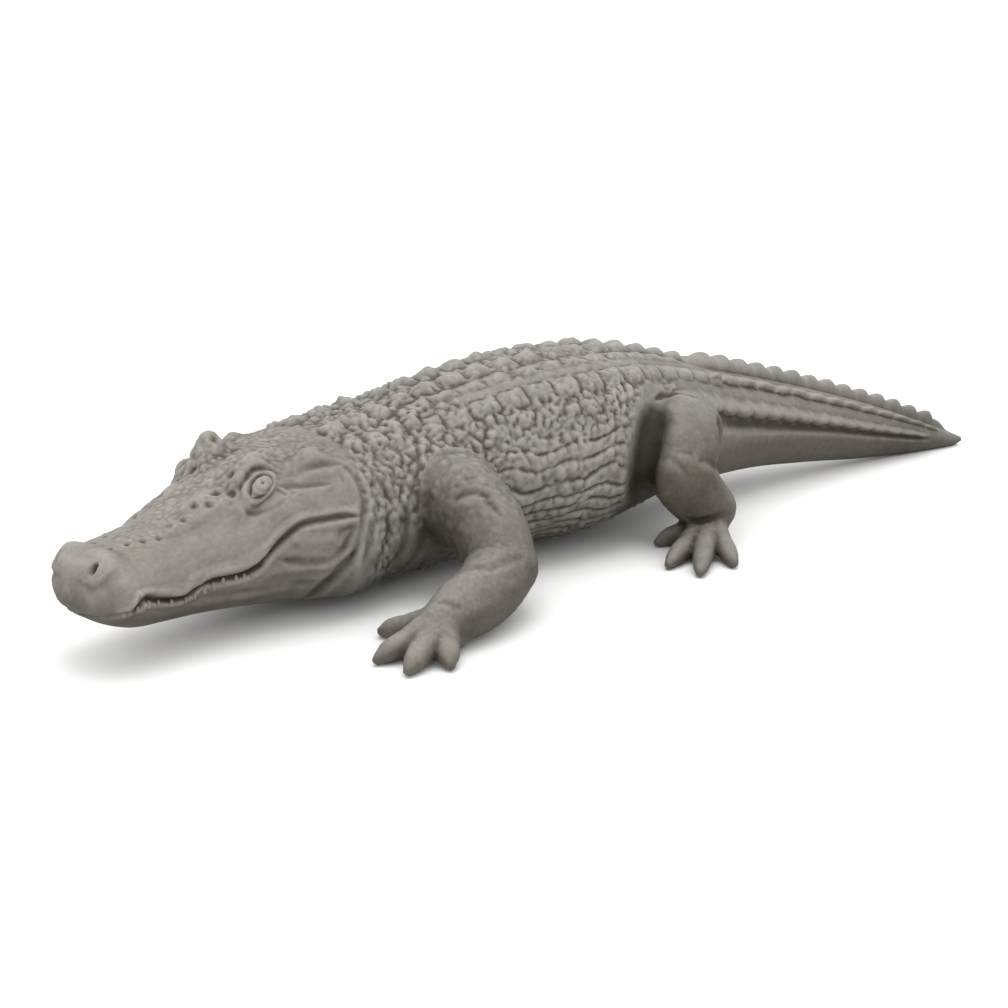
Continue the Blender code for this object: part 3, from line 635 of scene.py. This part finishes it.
# pits along the snout: place, share, radius and depth in metres
SNOUT_PITS = (
    (2.60, 0.06, 0.0036, 0.0020), (3.56, 0.09, 0.0040, 0.0026), (4.35, 0.14, 0.0042, 0.0026),
    (5.27, 0.19, 0.0046, 0.0028), (6.20, 0.165, 0.0046, 0.0028), (7.10, 0.20, 0.0048, 0.0030),
    (8.10, 0.145, 0.0060, 0.0036), (8.90, 0.195, 0.0055, 0.0034), (9.70, 0.14, 0.0066, 0.0040),
    (10.3, 0.215, 0.0056, 0.0040), (10.9, 0.120, 0.0060, 0.0036), (12.6, 0.075, 0.0070, 0.0036),
)
EYE_MIDDLE, EYE_RADIUS, EYE_HEIGHT, EYE_SQUINT = (11.72, 0.298), 0.0138, 0.0040, 0.74
PUPIL_RADIUS, PUPIL_DEPTH, IRIS_RADIUS, IRIS_WIDTH, IRIS_DEPTH = 0.0030, 0.0030, 0.0082, 0.0022, 0.0013
# the slit of the nostril: its marks, width, depth and puffed edges
NOSTRIL_SLIT = (((0.52, 0.185), (0.75, 0.168), (1.0, 0.150)), 0.0046, -0.0110, 0.1)
# lids as arcs round the eye: radius, first and last angle from the front, width, depth
LIDS = (
    (0.0148, -25, 215, 0.0038, -0.0056), (0.0205, 5, 200, 0.0064, 0.0032),
    (0.0148, 195, 345, 0.0026, -0.0022), (0.0186, 200, 350, 0.0042, 0.0026), (0.0290, 40, 180, 0.0050, -0.0016),
)
MOUTH_SPAN, LIP_STEP, LIP_ROLL = (0.8, 2.4, 16.4, 17.6), 0.0050, 0.0022
PIT_SPREAD = 1.4  # a pit's soft edge reaches this many times its radius


def band(x, rises, full, falls, ends):
    """1 on a stretch, with a smooth rise before it and a smooth fall after it."""
    return ease(x, rises, full) * (1 - ease(x, falls, ends))


def off(points, place, way, hand):
    """How far each point is from a place of the skin."""
    return np.linalg.norm(points - skin(place, way, hand), axis=1)


def around_eye(radius, angle, hand):
    """A point of the skin at a distance from the eye's middle. The angle runs from the front over the top."""
    place, share = EYE_MIDDLE
    girth = np.linalg.norm(skin(place, share + 0.01, hand) - skin(place, share - 0.01, hand)) / 0.02
    angle = np.radians(angle)
    share = share - EYE_SQUINT * radius * np.sin(angle) / girth
    return skin(place - radius * np.cos(angle) / ONE, share, hand)


def head_relief(points, along, share):
    """The finer forms of the head, on both sides."""
    mouth = band(along, *MOUTH_SPAN)
    out = mouth * LIP_ROLL * hill(share, LIP_SHARE - 0.025, 0.045)
    out -= mouth * LIP_STEP * band(share, LIP_SHARE, LIP_SHARE + 0.02, 0.78, 0.95)
    for hand in (-1, 1):
        for marks, width, depth in HEAD_FOLDS:
            out += stroke(points, marks, hand, width, depth, 0.2 if depth < 0 else 0.0)
        for radius, first, last, width, depth in LIDS:
            arc = np.array([around_eye(radius, angle, hand) for angle in np.linspace(first, last, 24)])
            out += fold(points, arc, width, depth, 0.0)
        gap = off(points, *EYE_MIDDLE, hand)
        out += EYE_HEIGHT * np.sqrt(np.clip(1 - (gap / EYE_RADIUS) ** 2, 0, 1))
        out -= PUPIL_DEPTH * hill(gap, 0, PUPIL_RADIUS) + IRIS_DEPTH * hill(gap, IRIS_RADIUS, IRIS_WIDTH)
        marks, width, depth, puff = NOSTRIL_SLIT
        out += stroke(points, marks, hand, width, depth, puff)
        for place, way, radius, depth in SNOUT_PITS:
            out -= depth * hill(off(points, place, way, hand), 0, radius * PIT_SPREAD)
    return out


# rows of plates: start, stop, row at each end, reach, height, pitch in metres, and what differs from
# a plain row. The row beside the spine is raised once more towards the neck and towards the tail,
# where the second row starts eight plates further back so that its plates fall on the same places.
# The last row of all is a groove below the tail's lower ledge.
PLATE_ROWS = (
    (18.6, 25.2, 0.09, 0.07, 0.065, 0.0100, 0.040, dict(Fade=0.6)),
    (18.8, 26.4, 0.21, 0.17, 0.060, 0.0085, 0.036, dict(Fade=0.6)),
    (25.2, 58.5, 0.045, 0.04, 0.042, 0.0098, 0.044, dict(Fade=2.0)),
    (25.2, 38.0, 0.045, 0.045, 0.042, 0.0036, 0.044, dict(Fade=3.0)),
    (44.7556, 58.5, 0.045, 0.04, 0.042, 0.0040, 0.044, dict(Fade=3.0)),
    (25.8, 56.0, 0.115, 0.11, 0.032, 0.0050, 0.044, dict(Fade=2.0)),
    (25.4, 60.5, 0.225, 0.212, 0.040, 0.0085, 0.044, dict(Fade=2.0, Square=0.6, Scallop=0.015)),
    (31.0, 53.0, 0.300, 0.300, 0.034, 0.0050, 0.036, dict(Fade=3.0, Square=0.7, Wander=0.012)),
    (56.5, 98.0, 0.0, 0.0, 0.095, 0.0235, 0.046, dict(Fade=4.0, Level=0.58, Wander=0.0, Steady=0.8)),
    (56.6, 96.0, 0.205, 0.290, 0.078, 0.0098, 0.050,
     dict(Fade=3.0, Square=0.55, Steady=0.9, Wander=0.02, Below=0.13)),
    (52.0, 94.0, 0.380, 0.515, 0.100, 0.0095, 0.046, dict(Fade=3.0, Level=0.8, Below=0.14, Scallop=0.016)),
    (52.0, 94.0, 0.425, 0.560, 0.045, -0.0050, 0.046, dict(Fade=3.0, Level=1.0)),
)
# fields of scales: size of a cell in metres, height, groove, randomness, unevenness, its size, softness
SCALES = dict(
    lump=(0.0150, 0.0046, 0.46, 1.0, 1.3, 0.018, 0.5), pebble=(0.0085, 0.0018, 0.42, 1.0, 1.6, 0.014, 0.6),
    wrinkle=(0.0125, 0.0030, 0.45, 1.0, 1.4, 0.016, 0.7), flank=(0.0165, 0.0030, 0.50, 0.75, 0.9, 0.018, 0.5),
    leg=(0.0075, 0.0005, 0.35, 1.0, 4.0, 0.018, 0.5), belly=(0.026, 0.0014, 0.16, 0.15, 0.0, 0.02, 0.0),
    rough=(0.0300, 0.0016, 0.20, 1.0, 3.0, 0.010, 0.0),
)
# the folds of the flank, and the faint rings of the tail: the length of a cell, depth and width
FLANK_FOLDS, TAIL_RINGS, TAIL_RING_CELL = (0.0044, 0.24), (0.0005, 0.16), 0.023
FLANK_TOP, FLANK_ROW = 0.36, 0.046
MID_TRUNK, NECK_FOLDS_END, BEHIND_ARMS = 50.0, 24.0, -0.3
# a dip this deep over a near or a wide stretch counts as a full hollow, and a cut this deep as fully darkened
# by painted shadow
NEAR_DIP, WIDE_DIP, SHADOWED_CUT = 0.0024, 0.016, 0.010


def cut_shadow_of(points, lift, limb):
    """How much painted shadow darkens the deep cuts, below the arms and before the thighs, and where no scale
    grows there.
    """
    deep, bare = np.clip(-lift / SHADOWED_CUT - 0.3, 0, 1), np.zeros(len(points))
    if limb.any():
        for side in (1, -1):
            armpit = np.linalg.norm(points - np.array(ARMPIT) * (1, side, 1), axis=1)
            armpit = hill(armpit, 0.0, ARMPIT_REACH) * ease(points[:, 2], 0.125, 0.085)
            hollow = fold(points, np.array(THIGH_HOLLOW) / 1000 * (1, side, 1), HOLLOW_REACH, 1.0, 0.0, True)
            bare = np.maximum(bare, np.maximum(np.clip(1.7 * armpit, 0, 1), np.clip(1.8 * hollow, 0, 1)))
            # the painted shadow before the thigh is darkest low down and fades on the leg
            hollow *= (1 - 0.8 * ease(points[:, 2], 0.09, 0.19)) * (1 - 0.75 * limb)
            deep = np.maximum(deep, np.maximum(0.42 * armpit, hollow))
    return deep, bare


def mark_fields(mesh, points, limb, body):
    """Stores the cells of every field of scales and folds, and where on the body it grows."""
    along, share, hand = read(mesh, "place", 3).T
    side, size = np.sign(hand), {name: values[0] for name, values in SCALES.items()}
    shoulder = limb * (1 - ease(along, 0.30, 0.38)) * (points[:, 0] < BEHIND_ARMS)
    # lumps on the neck and back, fewer on the flank, the shoulders and between the rows of plates
    on_neck = band(along, 17.8, 19.8, 44.0, 54.0) * (1 - ease(share, 0.78, 0.90))
    on_neck *= 1 - ease(share, 0.36, 0.46) * ease(along, 25.0, 29.0)
    on_neck *= 1 - 0.45 * ease(share, 0.28, 0.40) * (1 - ease(along, 24.0, 27.0))
    on_neck *= 1 - 0.45 * ease(along, 26, 34) * (1 - ease(share, 0.20, 0.30))
    on_neck *= 1 - 0.75 * hill(share, 0.158, 0.036) * band(along, 28, 31, 50, 54)
    skull = band(along, 7.0, 9.5, 17.0, 18.5) * (1 - ease(share, 0.20, 0.29)) * 0.40
    snout_top = (1 - ease(along, 17.0, 19.0)) * (1 - ease(share, 0.17, 0.28)) * ease(along, 1.6, 4.0) * 0.7
    neck_side = band(along, 17.6, 19.0, 26.0, 30.0) * band(share, 0.28, 0.38, 0.8, 0.92)
    flank = band(share, 0.34, 0.42, 0.82, 0.88) * band(along, 26.5, 30.0, 46.0, 54.0)
    tail_side = band(along, 56, 60, 90, 97) * ease(share - (along - 52) * 0.0032, 0.42, 0.46)
    # the flank's folds sag between the legs, and its scales stand in their rows like bricks
    sag = 0.22 * np.sin(0.55 * along + 9 * share) + 0.16 * np.sin(1.3 * along + 23 * share)
    rows = (share - FLANK_TOP) / FLANK_ROW + sag
    bricks = along * ONE / size["flank"] + 0.5 * np.floor(rows)
    for name, cells, where in (
        ("lump", points / size["lump"], np.clip((on_neck + skull) * body + 0.42 * shoulder, 0, 1)),
        ("pebble", points / size["pebble"], np.maximum(snout_top, 0.5 * on_neck) * body),
        ("wrinkle", (along * ONE / size["wrinkle"], share * 24, 3.5 * side), neck_side * body),
        ("flank", (bricks, rows, 7.5 * side), flank * body),
        ("leg", points / size["leg"], limb * ease(along, 0.3, 0.4)),
        ("belly", (along * ONE / size["belly"], share * 26, 3.5 * side),
         ease(share, 0.84, 0.90) * body * band(along, 19, 22, 54, 58)),
        ("rough", points / size["rough"],
         np.clip(np.maximum(on_neck, 0.55 * flank) * body + 0.3 * shoulder, 0, 1)),
        ("ring", (share * 3, along * ONE / TAIL_RING_CELL, np.zeros(len(points))), tail_side * body),
    ):
        keep(mesh, f"{name}_cells", np.stack(cells, -1) if isinstance(cells, tuple) else cells)
        keep(mesh, f"{name}_where", where)


def dress(piece, has_legs):
    """Carves the finer forms, then raises plates and scales over them."""
    mesh = piece.data
    points, facing = points_of(mesh), normals_of(mesh)
    along, share = read(mesh, "place", 3).T[:2]
    limb = read(mesh, "limb", 1) if has_legs else np.zeros(len(points))
    keep(mesh, "out", facing)
    lift = np.zeros(len(points))
    if along.min() < NECK_FOLDS_END:
        # places on a limb run from 0 to 1, and would count as the snout
        lift += head_relief(points, np.where(limb > 0.5, MID_TRUNK, along), share)
    if has_legs:
        lift += leg_relief(points)
    move_to(mesh, points + facing * lift[:, None])
    cut_shadow, bare = cut_shadow_of(points, lift, limb)
    # painted shadow in the deep cuts, which also keeps the scales out of them
    keep(mesh, "cut_shadow", cut_shadow)
    body = (1 - limb) * (1 - np.maximum(bare, cut_shadow))
    keep(mesh, "on_body", body)
    mark_fields(mesh, points, limb, body)
    for number, (start, stop, row, last, reach, tall, pitch, more) in enumerate(PLATE_ROWS):
        run_tree(piece, plate_tree, Row=row, Row_at_the_end=last, Reach=reach, Height=tall, Pitch=pitch / ONE,
                 Start=start, Stop=stop, Seed=number, **more)
    for name, (depth, width) in (("flank", FLANK_FOLDS), ("ring", TAIL_RINGS)):
        run_tree(piece, fold_tree, Cells=f"{name}_cells", Where=f"{name}_where", Depth=depth, Width=width)
    for name, (_, height, groove, randomness, uneven, lump_size, soft) in SCALES.items():
        run_tree(piece, scale_tree, Cells=f"{name}_cells", Where=f"{name}_where", Height=height, Groove=groove,
                 Randomness=randomness, Uneven=uneven, Lump_size=lump_size, Soft=soft)
    mesh = evaluated(piece)
    piece.data = mesh
    now = np.clip(points_of(mesh), np.array(cad_low), np.array(cad_high))
    move_to(mesh, now)
    facing = normals_of(mesh)
    # painted shade in the hollows and painted highlight on the ridges, from how far the skin dips below its
    # smoothed self
    near_dip, wide_dip = (
        np.einsum("ij,ij->i", smoothed(mesh, now, times) - now, facing) for times in (5, 45)
    )
    keep(mesh, "hollow", np.clip(0.5 + near_dip / NEAR_DIP + wide_dip / WIDE_DIP, 0, 1))
    # painted shade: darker where the skin faces down, on the legs, the tail and the tip of the snout
    limb = read(mesh, "limb", 1) if has_legs else 0.0
    along = read(mesh, "place", 3)[:, 0]
    darker = 0.72 * limb + (1 - limb) * (0.42 * ease(along, 48, 62) + 0.35 * (1 - ease(along, 0.6, 2.6)))
    keep(mesh, "shade", np.clip(0.38 + darker - 0.80 * smoothed(mesh, facing, 10)[:, 2], 0, 1))
    mesh.shade_smooth()


def cut(mesh, place, keep_behind, reach=1.0):
    """Saws a mesh across the spine at a place, as far as the reach to either side, and closes the end."""
    work = bmesh.new()
    work.from_mesh(mesh)
    turn, x, y = (float(np.interp(place, spine_places, line)) for line in (spine_heading, spine_x, spine_y))
    middle, towards_tail = Vector((x, y, 0.0)), Vector((math.cos(turn), math.sin(turn), 0.0))
    across = Vector((-math.sin(turn), math.cos(turn), 0.0))
    spine_line = across.dot(middle)
    near = [face for face in work.faces if abs(across.dot(face.calc_center_median()) - spine_line) < reach]
    reached = list({v for f in near for v in f.verts}) + list({e for f in near for e in f.edges}) + near
    bmesh.ops.bisect_plane(
        work, geom=reached, dist=1e-6, plane_co=middle, plane_no=towards_tail,
        clear_inner=keep_behind, clear_outer=not keep_behind,
    )
    rim = [edge for edge in work.edges if edge.is_boundary]
    bmesh.ops.holes_fill(work, edges=rim, sides=0)
    for edge in rim:
        edge.smooth = False
    work.to_mesh(mesh)
    work.free()


HEAD_END, SHOULDERS_END, HIPS_START, TAIL_START = 18.3, 31.2, 41.8, 58.5
NECK_REACH = 0.168  # the cut behind the head goes this far to either side, and so misses the toes
coarse = 1.0

# The head, cast with the rest: a broad snout with the mouth shut, brows that stand up over the eyes,
# and a heavy jaw that ends in folds.
TIP, HEAD_RING, HEAD_LAP = 1.2, 0.085, 0.6
head_rings = np.arange(TIP, HEAD_END + HEAD_LAP, HEAD_RING * coarse)
head_rings = np.concatenate([np.linspace(0, 1, 16)[1:-1] ** 2 * TIP, head_rings])
# the lines from snout to neck stand closest along the mouth: from one share to another, and how many
head_lines = [(0, 0.56, 92), (0.56, 0.72, 42), (0.72, 1, 30)]
head_lines = np.unique(np.concatenate([np.linspace(a, b, int(count / coarse)) for a, b, count in head_lines]))
head = link("head", skin_tube("head", head_rings, head_lines))
dress(head, False)
cut(head.data, HEAD_END, False)
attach(head, "root")
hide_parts("crocodile")

# The teeth that show below the upper lip, small and worn, moulded with the jaw.
# each tooth's place and share
TEETH = (
    (1.64, 0.646), (2.42, 0.660), (3.19, 0.633), (3.95, 0.622), (4.95, 0.628), (5.94, 0.633), (6.52, 0.642),
    (7.15, 0.632), (7.73, 0.625), (8.35, 0.613), (9.14, 0.613), (9.65, 0.617), (10.14, 0.625),
)
TOOTH_RADIUS, TOOTH_LENGTH, TOOTH_SUNK = 0.0023, 0.0046, 0.0032

teeth_tree, given = new_tree("teeth along the lip", Radius=0.002, Length=0.004, Seed=1)
peg = put(teeth_tree, "GeometryNodeMeshIcoSphere", 1.0, 3).outputs[0]
size = put(teeth_tree, "ShaderNodeCombineXYZ", given["Radius"], given["Radius"], given["Length"]).outputs[0]
tooth_luck = (0.75, 1.15, None, given["Seed"])
tooth_luck = put(teeth_tree, "FunctionNodeRandomValue", *tooth_luck, data_type="FLOAT").outputs[1]
scaled = put(teeth_tree, "ShaderNodeVectorMath", size, operation="SCALE")
teeth_tree.links.new(tooth_luck, scaled.inputs["Scale"])
rooted = put(teeth_tree, "GeometryNodeInstanceOnPoints", given["Geometry"], None, peg)
teeth_tree.links.new(scaled.outputs[0], rooted.inputs["Scale"])
close_tree(teeth_tree, rooted.outputs[0], stone)

roots = []
for hand in (-1, 1):
    for place, way in TEETH:
        beside = [skin(place + step, way + turn, hand) for step, turn in ((0, 0), (0.1, 0), (0, 0.01))]
        inward = np.cross(beside[1] - beside[0], beside[2] - beside[0]) * hand
        roots.append(beside[0] - inward / np.linalg.norm(inward) * TOOTH_SUNK)
root_mesh = bpy.data.meshes.new("teeth")
root_mesh.from_pydata(roots, [], [])
teeth = link("teeth", root_mesh)
run_tree(teeth, teeth_tree, Radius=TOOTH_RADIUS, Length=TOOTH_LENGTH, Seed=4)
teeth.data = evaluated(teeth)
# the teeth get an even touch of painted shade, a trace of painted highlight and no painted shadow
for attribute, level in (("hollow", 0.45), ("shade", 0.3), ("cut_shadow", 0.0)):
    keep(teeth.data, attribute, np.full(len(teeth.data.vertices), level))
teeth.data.shade_smooth()
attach(teeth, "root")
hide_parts("crocodile")

# The trunk with its four legs, fused in the mould and smoothed where they meet. Each leg is two
# limbs, a flat palm and blunt toes without claws.
# each limb's joints: how far behind the trunk's middle, how far out, how high, and the radius
FORE_LEG = (
    ((-18.6, 3.5, 7.6, 3.4), (-18.6, 8.3, 6.8, 3.1), (-18.7, 11.3, 5.3, 2.7), (-19.2, 13.3, 3.5, 2.45)),
    ((-19.2, 13.3, 3.5, 2.45), (-21.9, 14.8, 2.6, 2.25), (-24.9, 15.5, 2.0, 1.9), (-26.0, 15.7, 1.7, 1.6)),
)
HIND_LEG = (
    ((6.9, 3.3, 7.5, 3.4), (4.7, 6.9, 8.6, 3.4), (2.5, 9.2, 8.3, 3.2), (1.0, 10.5, 6.5, 2.75)),
    ((1.0, 10.5, 6.5, 2.75), (2.4, 10.7, 4.6, 2.5), (4.2, 10.9, 3.0, 2.2)),
)
# the tips of the toes: how far behind the trunk's middle and how far out
FORE_TOES = ((-27.9, 11.5), (-30.7, 15.3), (-30.2, 18.0), (-27.7, 18.9), (-23.8, 11.6))
HIND_TOES = ((0.0, 9.2), (-3.5, 13.8), (-3.0, 16.6), (0.6, 16.8))
PALM_RADIUS, PALM_FLATNESS, PALM_HEIGHT = 1.75, 0.55, 0.85
# each toe from the ankle to its tip: share of the way, height and radius
TOE_LINE = (
    (0.04, 1.75, 1.10), (0.30, 1.50, 1.02), (0.55, 1.06, 0.86),
    (0.75, 0.84, 0.77), (0.90, 0.60, 0.58), (0.98, 0.42, 0.37),
)
HAND_WEB = (1.02, 0.24)  # the skin between the toes: its middle and its reach along them
MID_BELLY = -0.2
ARMPIT, ARMPIT_REACH, HOLLOW_REACH = (-0.452, -0.155, 0.066), 0.078, 0.048
THIGH_HOLLOW = (
    (-46, -138, 211), (-66, -151, 192), (-83, -158.5, 176), (-96, -164.5, 148), (-102, -165, 121),
    (-100, -158, 90), (-90, -145, 55),
)
# creases where the legs bend and leave the body: points on the left side in millimetres, then width
# and depth in metres
LEG_FOLDS = (
    # the arm comes out from under the shoulder's skin
    ([(-452, -186, 128), (-443, -187, 142), (-435, -190, 147), (-423, -201, 150), (-417, -211, 147),
      (-417, -221, 139), (-415, -234, 128), (-408, -249, 113)], 0.0088, -0.0029),
    ([(-444, -175, 149), (-437, -177, 153.5), (-426, -184, 158), (-415, -191, 158.7), (-407, -198, 154),
      (-402, -208, 144)], 0.0071, -0.0015),
    ([(-433, -171, 160), (-421, -182, 164), (-406, -190, 159.5), (-396, -200, 150)], 0.0066, -0.0012),
    # elbow and wrist
    ([(-490, -267, 79.7), (-477.5, -271.6, 82.3), (-465.8, -281.8, 84.1), (-444.8, -280.4, 85.2),
      (-422, -277.5, 86.3), (-407, -276.7, 84.7)], 0.0103, -0.0020),
    ([(-481, -283, 70), (-466, -292, 72), (-448, -293, 70), (-430, -289, 67)], 0.0071, -0.0011),
    ([(-545, -280, 56.8), (-537, -289.6, 59.1), (-533.8, -295.4, 58.4), (-528, -300.4, 55.3),
      (-523.3, -306.3, 51.1)], 0.0071, -0.0017),
    ([(-553, -284, 50), (-545, -294, 52), (-538, -303, 49)], 0.0056, -0.0009),
    # the deep hollow in front of the thigh
    (THIGH_HOLLOW, 0.0420, -0.0105),
    # the thigh narrows behind, and the arm's root is full below
    ([(34, -182, 190), (24, -200, 158), (12, -210, 128), (0, -214, 100)], 0.0320, -0.0150),
    ([(-474, -146, 30), (-450, -170, 36), (-430, -196, 48)], 0.0550, 0.0080),
    # the fold over the thigh
    ([(-61.4, -137.7, 210.9), (-31.5, -129.5, 213.2), (-5.5, -133.2, 211.5), (2, -158.9, 208.3),
      (6, -178.9, 196.9)], 0.0090, -0.0039),
    # knee, shank and ankle
    ([(-96.1, -186.8, 135), (-92.4, -196.5, 142.4), (-88.3, -206.1, 144.1), (-82.3, -223.6, 129.7),
      (-78, -229.2, 116.6)], 0.0086, -0.0014),
    ([(-85.2, -198.4, 150.8), (-68.7, -218.7, 150.4), (-60.8, -224.6, 150.3)], 0.0069, -0.0010),
    ([(-62.4, -231.5, 134.9), (-51.6, -230.1, 139.8), (-26.9, -230.5, 129.2), (-8, -222, 120)],
     0.0107, -0.0025),
    ([(-59.8, -202, 52.5), (-39.8, -220.1, 49.4), (-15.5, -233.8, 55), (23.2, -231.4, 52.9)],
     0.0107, -0.0023),
)
WIDE_FOLD = 0.02  # a fold wider than this is a swell or a hollow of the body, and has no puffed edges
dome_steps = np.sin(np.linspace(0, math.pi / 2, 7)[1:-1])


def leg_relief(points):
    """Creases where the legs bend and where they leave the body, on both sides."""
    out = np.zeros(len(points))
    for hand in (1, -1):
        for line, width, depth in LEG_FOLDS:
            line = np.array(line) / 1000 * (1, hand, 1)
            out += fold(points, line, width, depth, 0.0 if width > WIDE_FOLD else 0.2)
    return out


def limb_tube(name, joints, rings, sides, span, flatness=1.0):
    """A round or flattened limb with domed ends, on a smooth path through joints of x, y, z and radius."""
    joints = np.array(joints, float)
    knots = np.concatenate([[0], np.cumsum(np.linalg.norm(np.diff(joints[:, :3], axis=0), axis=1))])
    t = np.linspace(0, knots[-1], rings)
    path = np.stack([follow(t, knots, joints[:, column]) for column in range(3)], -1)
    radii = follow(t, knots, joints[:, 3])
    ahead = np.gradient(path, axis=0)
    ahead /= np.linalg.norm(ahead, axis=1, keepdims=True)
    centres = [path[0] - ahead[0] * radii[0] * s for s in dome_steps[::-1]]
    centres += [*path, *(path[-1] + ahead[-1] * radii[-1] * s for s in dome_steps)]
    dome = np.sqrt(1 - dome_steps**2)
    radii = [*(radii[0] * dome[::-1]), *radii, *(radii[-1] * dome)]
    ahead = [ahead[0]] * len(dome) + [*ahead] + [ahead[-1]] * len(dome)
    turns = np.linspace(0, 2 * math.pi, sides, endpoint=False)
    across = np.cross(ahead[0], (0, 0, 1.0))
    loops = []
    for centre, way, radius in zip(centres, ahead, radii):
        across = across - way * np.dot(across, way)
        across /= np.linalg.norm(across)
        up = np.cross(across, way)
        ring = np.outer(np.cos(turns), across) + flatness * np.outer(np.sin(turns), up)
        loops.append(centre + radius * ring)
    loops = np.array(loops)
    place = np.full(loops.shape, (0.0, 0.5, 1.0))
    place[..., 0] = np.linspace(*span, len(loops))[:, None]
    return tube(name, loops, place)


def leg_tubes(bones, toes, hand):
    """The limbs, the palm and the toes of one leg."""
    def spot(behind, out, up, radius):
        return (behind * ONE - ORIGIN_BEHIND, hand * out * ONE, up * ONE, radius * ONE)

    spans = ((0.0, 0.5), (0.5, 1.0))
    made = [
        limb_tube("limb", [spot(*joint) for joint in bone], 24, 40, way) for bone, way in zip(bones, spans)
    ]
    ankle = np.array(bones[-1][-1][:2])
    ahead = np.mean(toes[:4], axis=0) - ankle
    pads = [spot(*(ankle + ahead * share), PALM_HEIGHT, PALM_RADIUS) for share in (0.0, 0.3, 0.5)]
    made.append(limb_tube("palm", pads, 10, 32, (0.95, 1.1), PALM_FLATNESS))
    for toe in toes:
        run = np.array(toe) - ankle
        joints = [spot(*(ankle + run * share), up, radius) for share, up, radius in TOE_LINE]
        made.append(limb_tube("toe", joints, 20, 24, (0.9, 1.5)))
    return made


def joined(name, meshes, limbs):
    """Several meshes as one object's loose parts. limb is 1 on the legs and 0 on the body."""
    points, faces, place, limb, first = [], [], [], [], 0
    for mesh, is_limb in zip(meshes, limbs):
        points.append(points_of(mesh))
        place.append(read(mesh, "place", 3))
        limb.append(np.full(len(mesh.vertices), float(is_limb)))
        faces += [[first + k for k in face.vertices] for face in mesh.polygons]
        first += len(mesh.vertices)
    whole = bpy.data.meshes.new(name)
    whole.from_pydata(np.concatenate(points), [], faces)
    keep(whole, "place", np.concatenate(place))
    keep(whole, "limb", np.concatenate(limb))
    return link(name, whole)


copy_tree, given = new_tree("places read from the plain skin", Skin=None)
source = put(copy_tree, "GeometryNodeObjectInfo", given["Skin"]).outputs["Geometry"]
carried = given["Geometry"]
for attribute, kind in (("place", "FLOAT_VECTOR"), ("limb", "FLOAT")):
    nearest = (source, named(copy_tree, attribute, kind))
    nearest = put(copy_tree, "GeometryNodeSampleNearestSurface", *nearest, data_type=kind).outputs[0]
    carried = (carried, None, attribute, nearest)
    carried = put(copy_tree, "GeometryNodeStoreNamedAttribute", *carried, data_type=kind).outputs[0]
close_tree(copy_tree, carried, stone)

TRUNK_LAPS, TRUNK_RING, FUSE_STEP = (1.2, 1.5), 0.22, 0.0025
trunk_rings = np.arange(HEAD_END - TRUNK_LAPS[0], TAIL_START + TRUNK_LAPS[1], TRUNK_RING)
meshes = [skin_tube("trunk", trunk_rings, np.linspace(0, 1, 110))]
for hand in (-1, 1):
    meshes += leg_tubes(FORE_LEG, FORE_TOES, hand) + leg_tubes(HIND_LEG, HIND_TOES, hand)
plain = joined("plain trunk", meshes, [0] + [1] * (len(meshes) - 1))
trunk = link("trunk", plain.data.copy())
remesh = trunk.modifiers.new("fused in the mould", "REMESH")
remesh.mode, remesh.voxel_size = "VOXEL", FUSE_STEP * coarse
run_tree(trunk, copy_tree, Skin=plain)
trunk.data = evaluated(trunk)
bpy.data.objects.remove(plain)
# smoothing takes the voxels' steps away: a little all over, most where the arms leave the body,
# half as much at the thighs, and between the toes
limb, progress = read(trunk.data, "limb", 1), read(trunk.data, "place", 3)[:, 0]
is_fore = points_of(trunk.data)[:, 0] < MID_BELLY
seam = np.where(is_fore, smoothed(trunk.data, limb, 50), smoothed(trunk.data, limb, 10))
seam = np.clip(4 * seam * (1 - seam) * 1.3, 0, 1)
web = smoothed(trunk.data, limb * hill(progress, *HAND_WEB), 4)
for times, give in ((3, 0.5), (50, np.where(is_fore, seam, 0.5 * seam)), (14, web)):
    move_to(trunk.data, smoothed(trunk.data, points_of(trunk.data), times, give))
keep(trunk.data, "limb", smoothed(trunk.data, limb, 8))
dress(trunk, True)
cut(trunk.data, HEAD_END, True, NECK_REACH)
cut(trunk.data, TAIL_START, False)
middle = link("trunk_middle", trunk.data.copy())
rear = link("trunk_rear", trunk.data.copy())
cut(trunk.data, SHOULDERS_END, False)
cut(middle.data, SHOULDERS_END, True)
cut(middle.data, HIPS_START, False)
cut(rear.data, HIPS_START, True)
trunk.name = "trunk_front"
for piece in (trunk, middle, rear):
    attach(piece, "root")
    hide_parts("crocodile")

# The tail, which carries a saw-toothed crest along its top and scalloped ledges on both sides, and
# lies on the ground along its rear half.
TAIL_LAP, TAIL_TIP, TAIL_RING, TAIL_LINES = 0.6, 99.8, 0.105, 110
tail_rings = np.arange(TAIL_START - TAIL_LAP, TAIL_TIP, TAIL_RING * coarse)
tail = link("tail", skin_tube("tail", tail_rings, np.linspace(0, 1, int(TAIL_LINES / coarse))))
dress(tail, False)
cut(tail.data, TAIL_START, True)
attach(tail, "root")
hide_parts("crocodile")
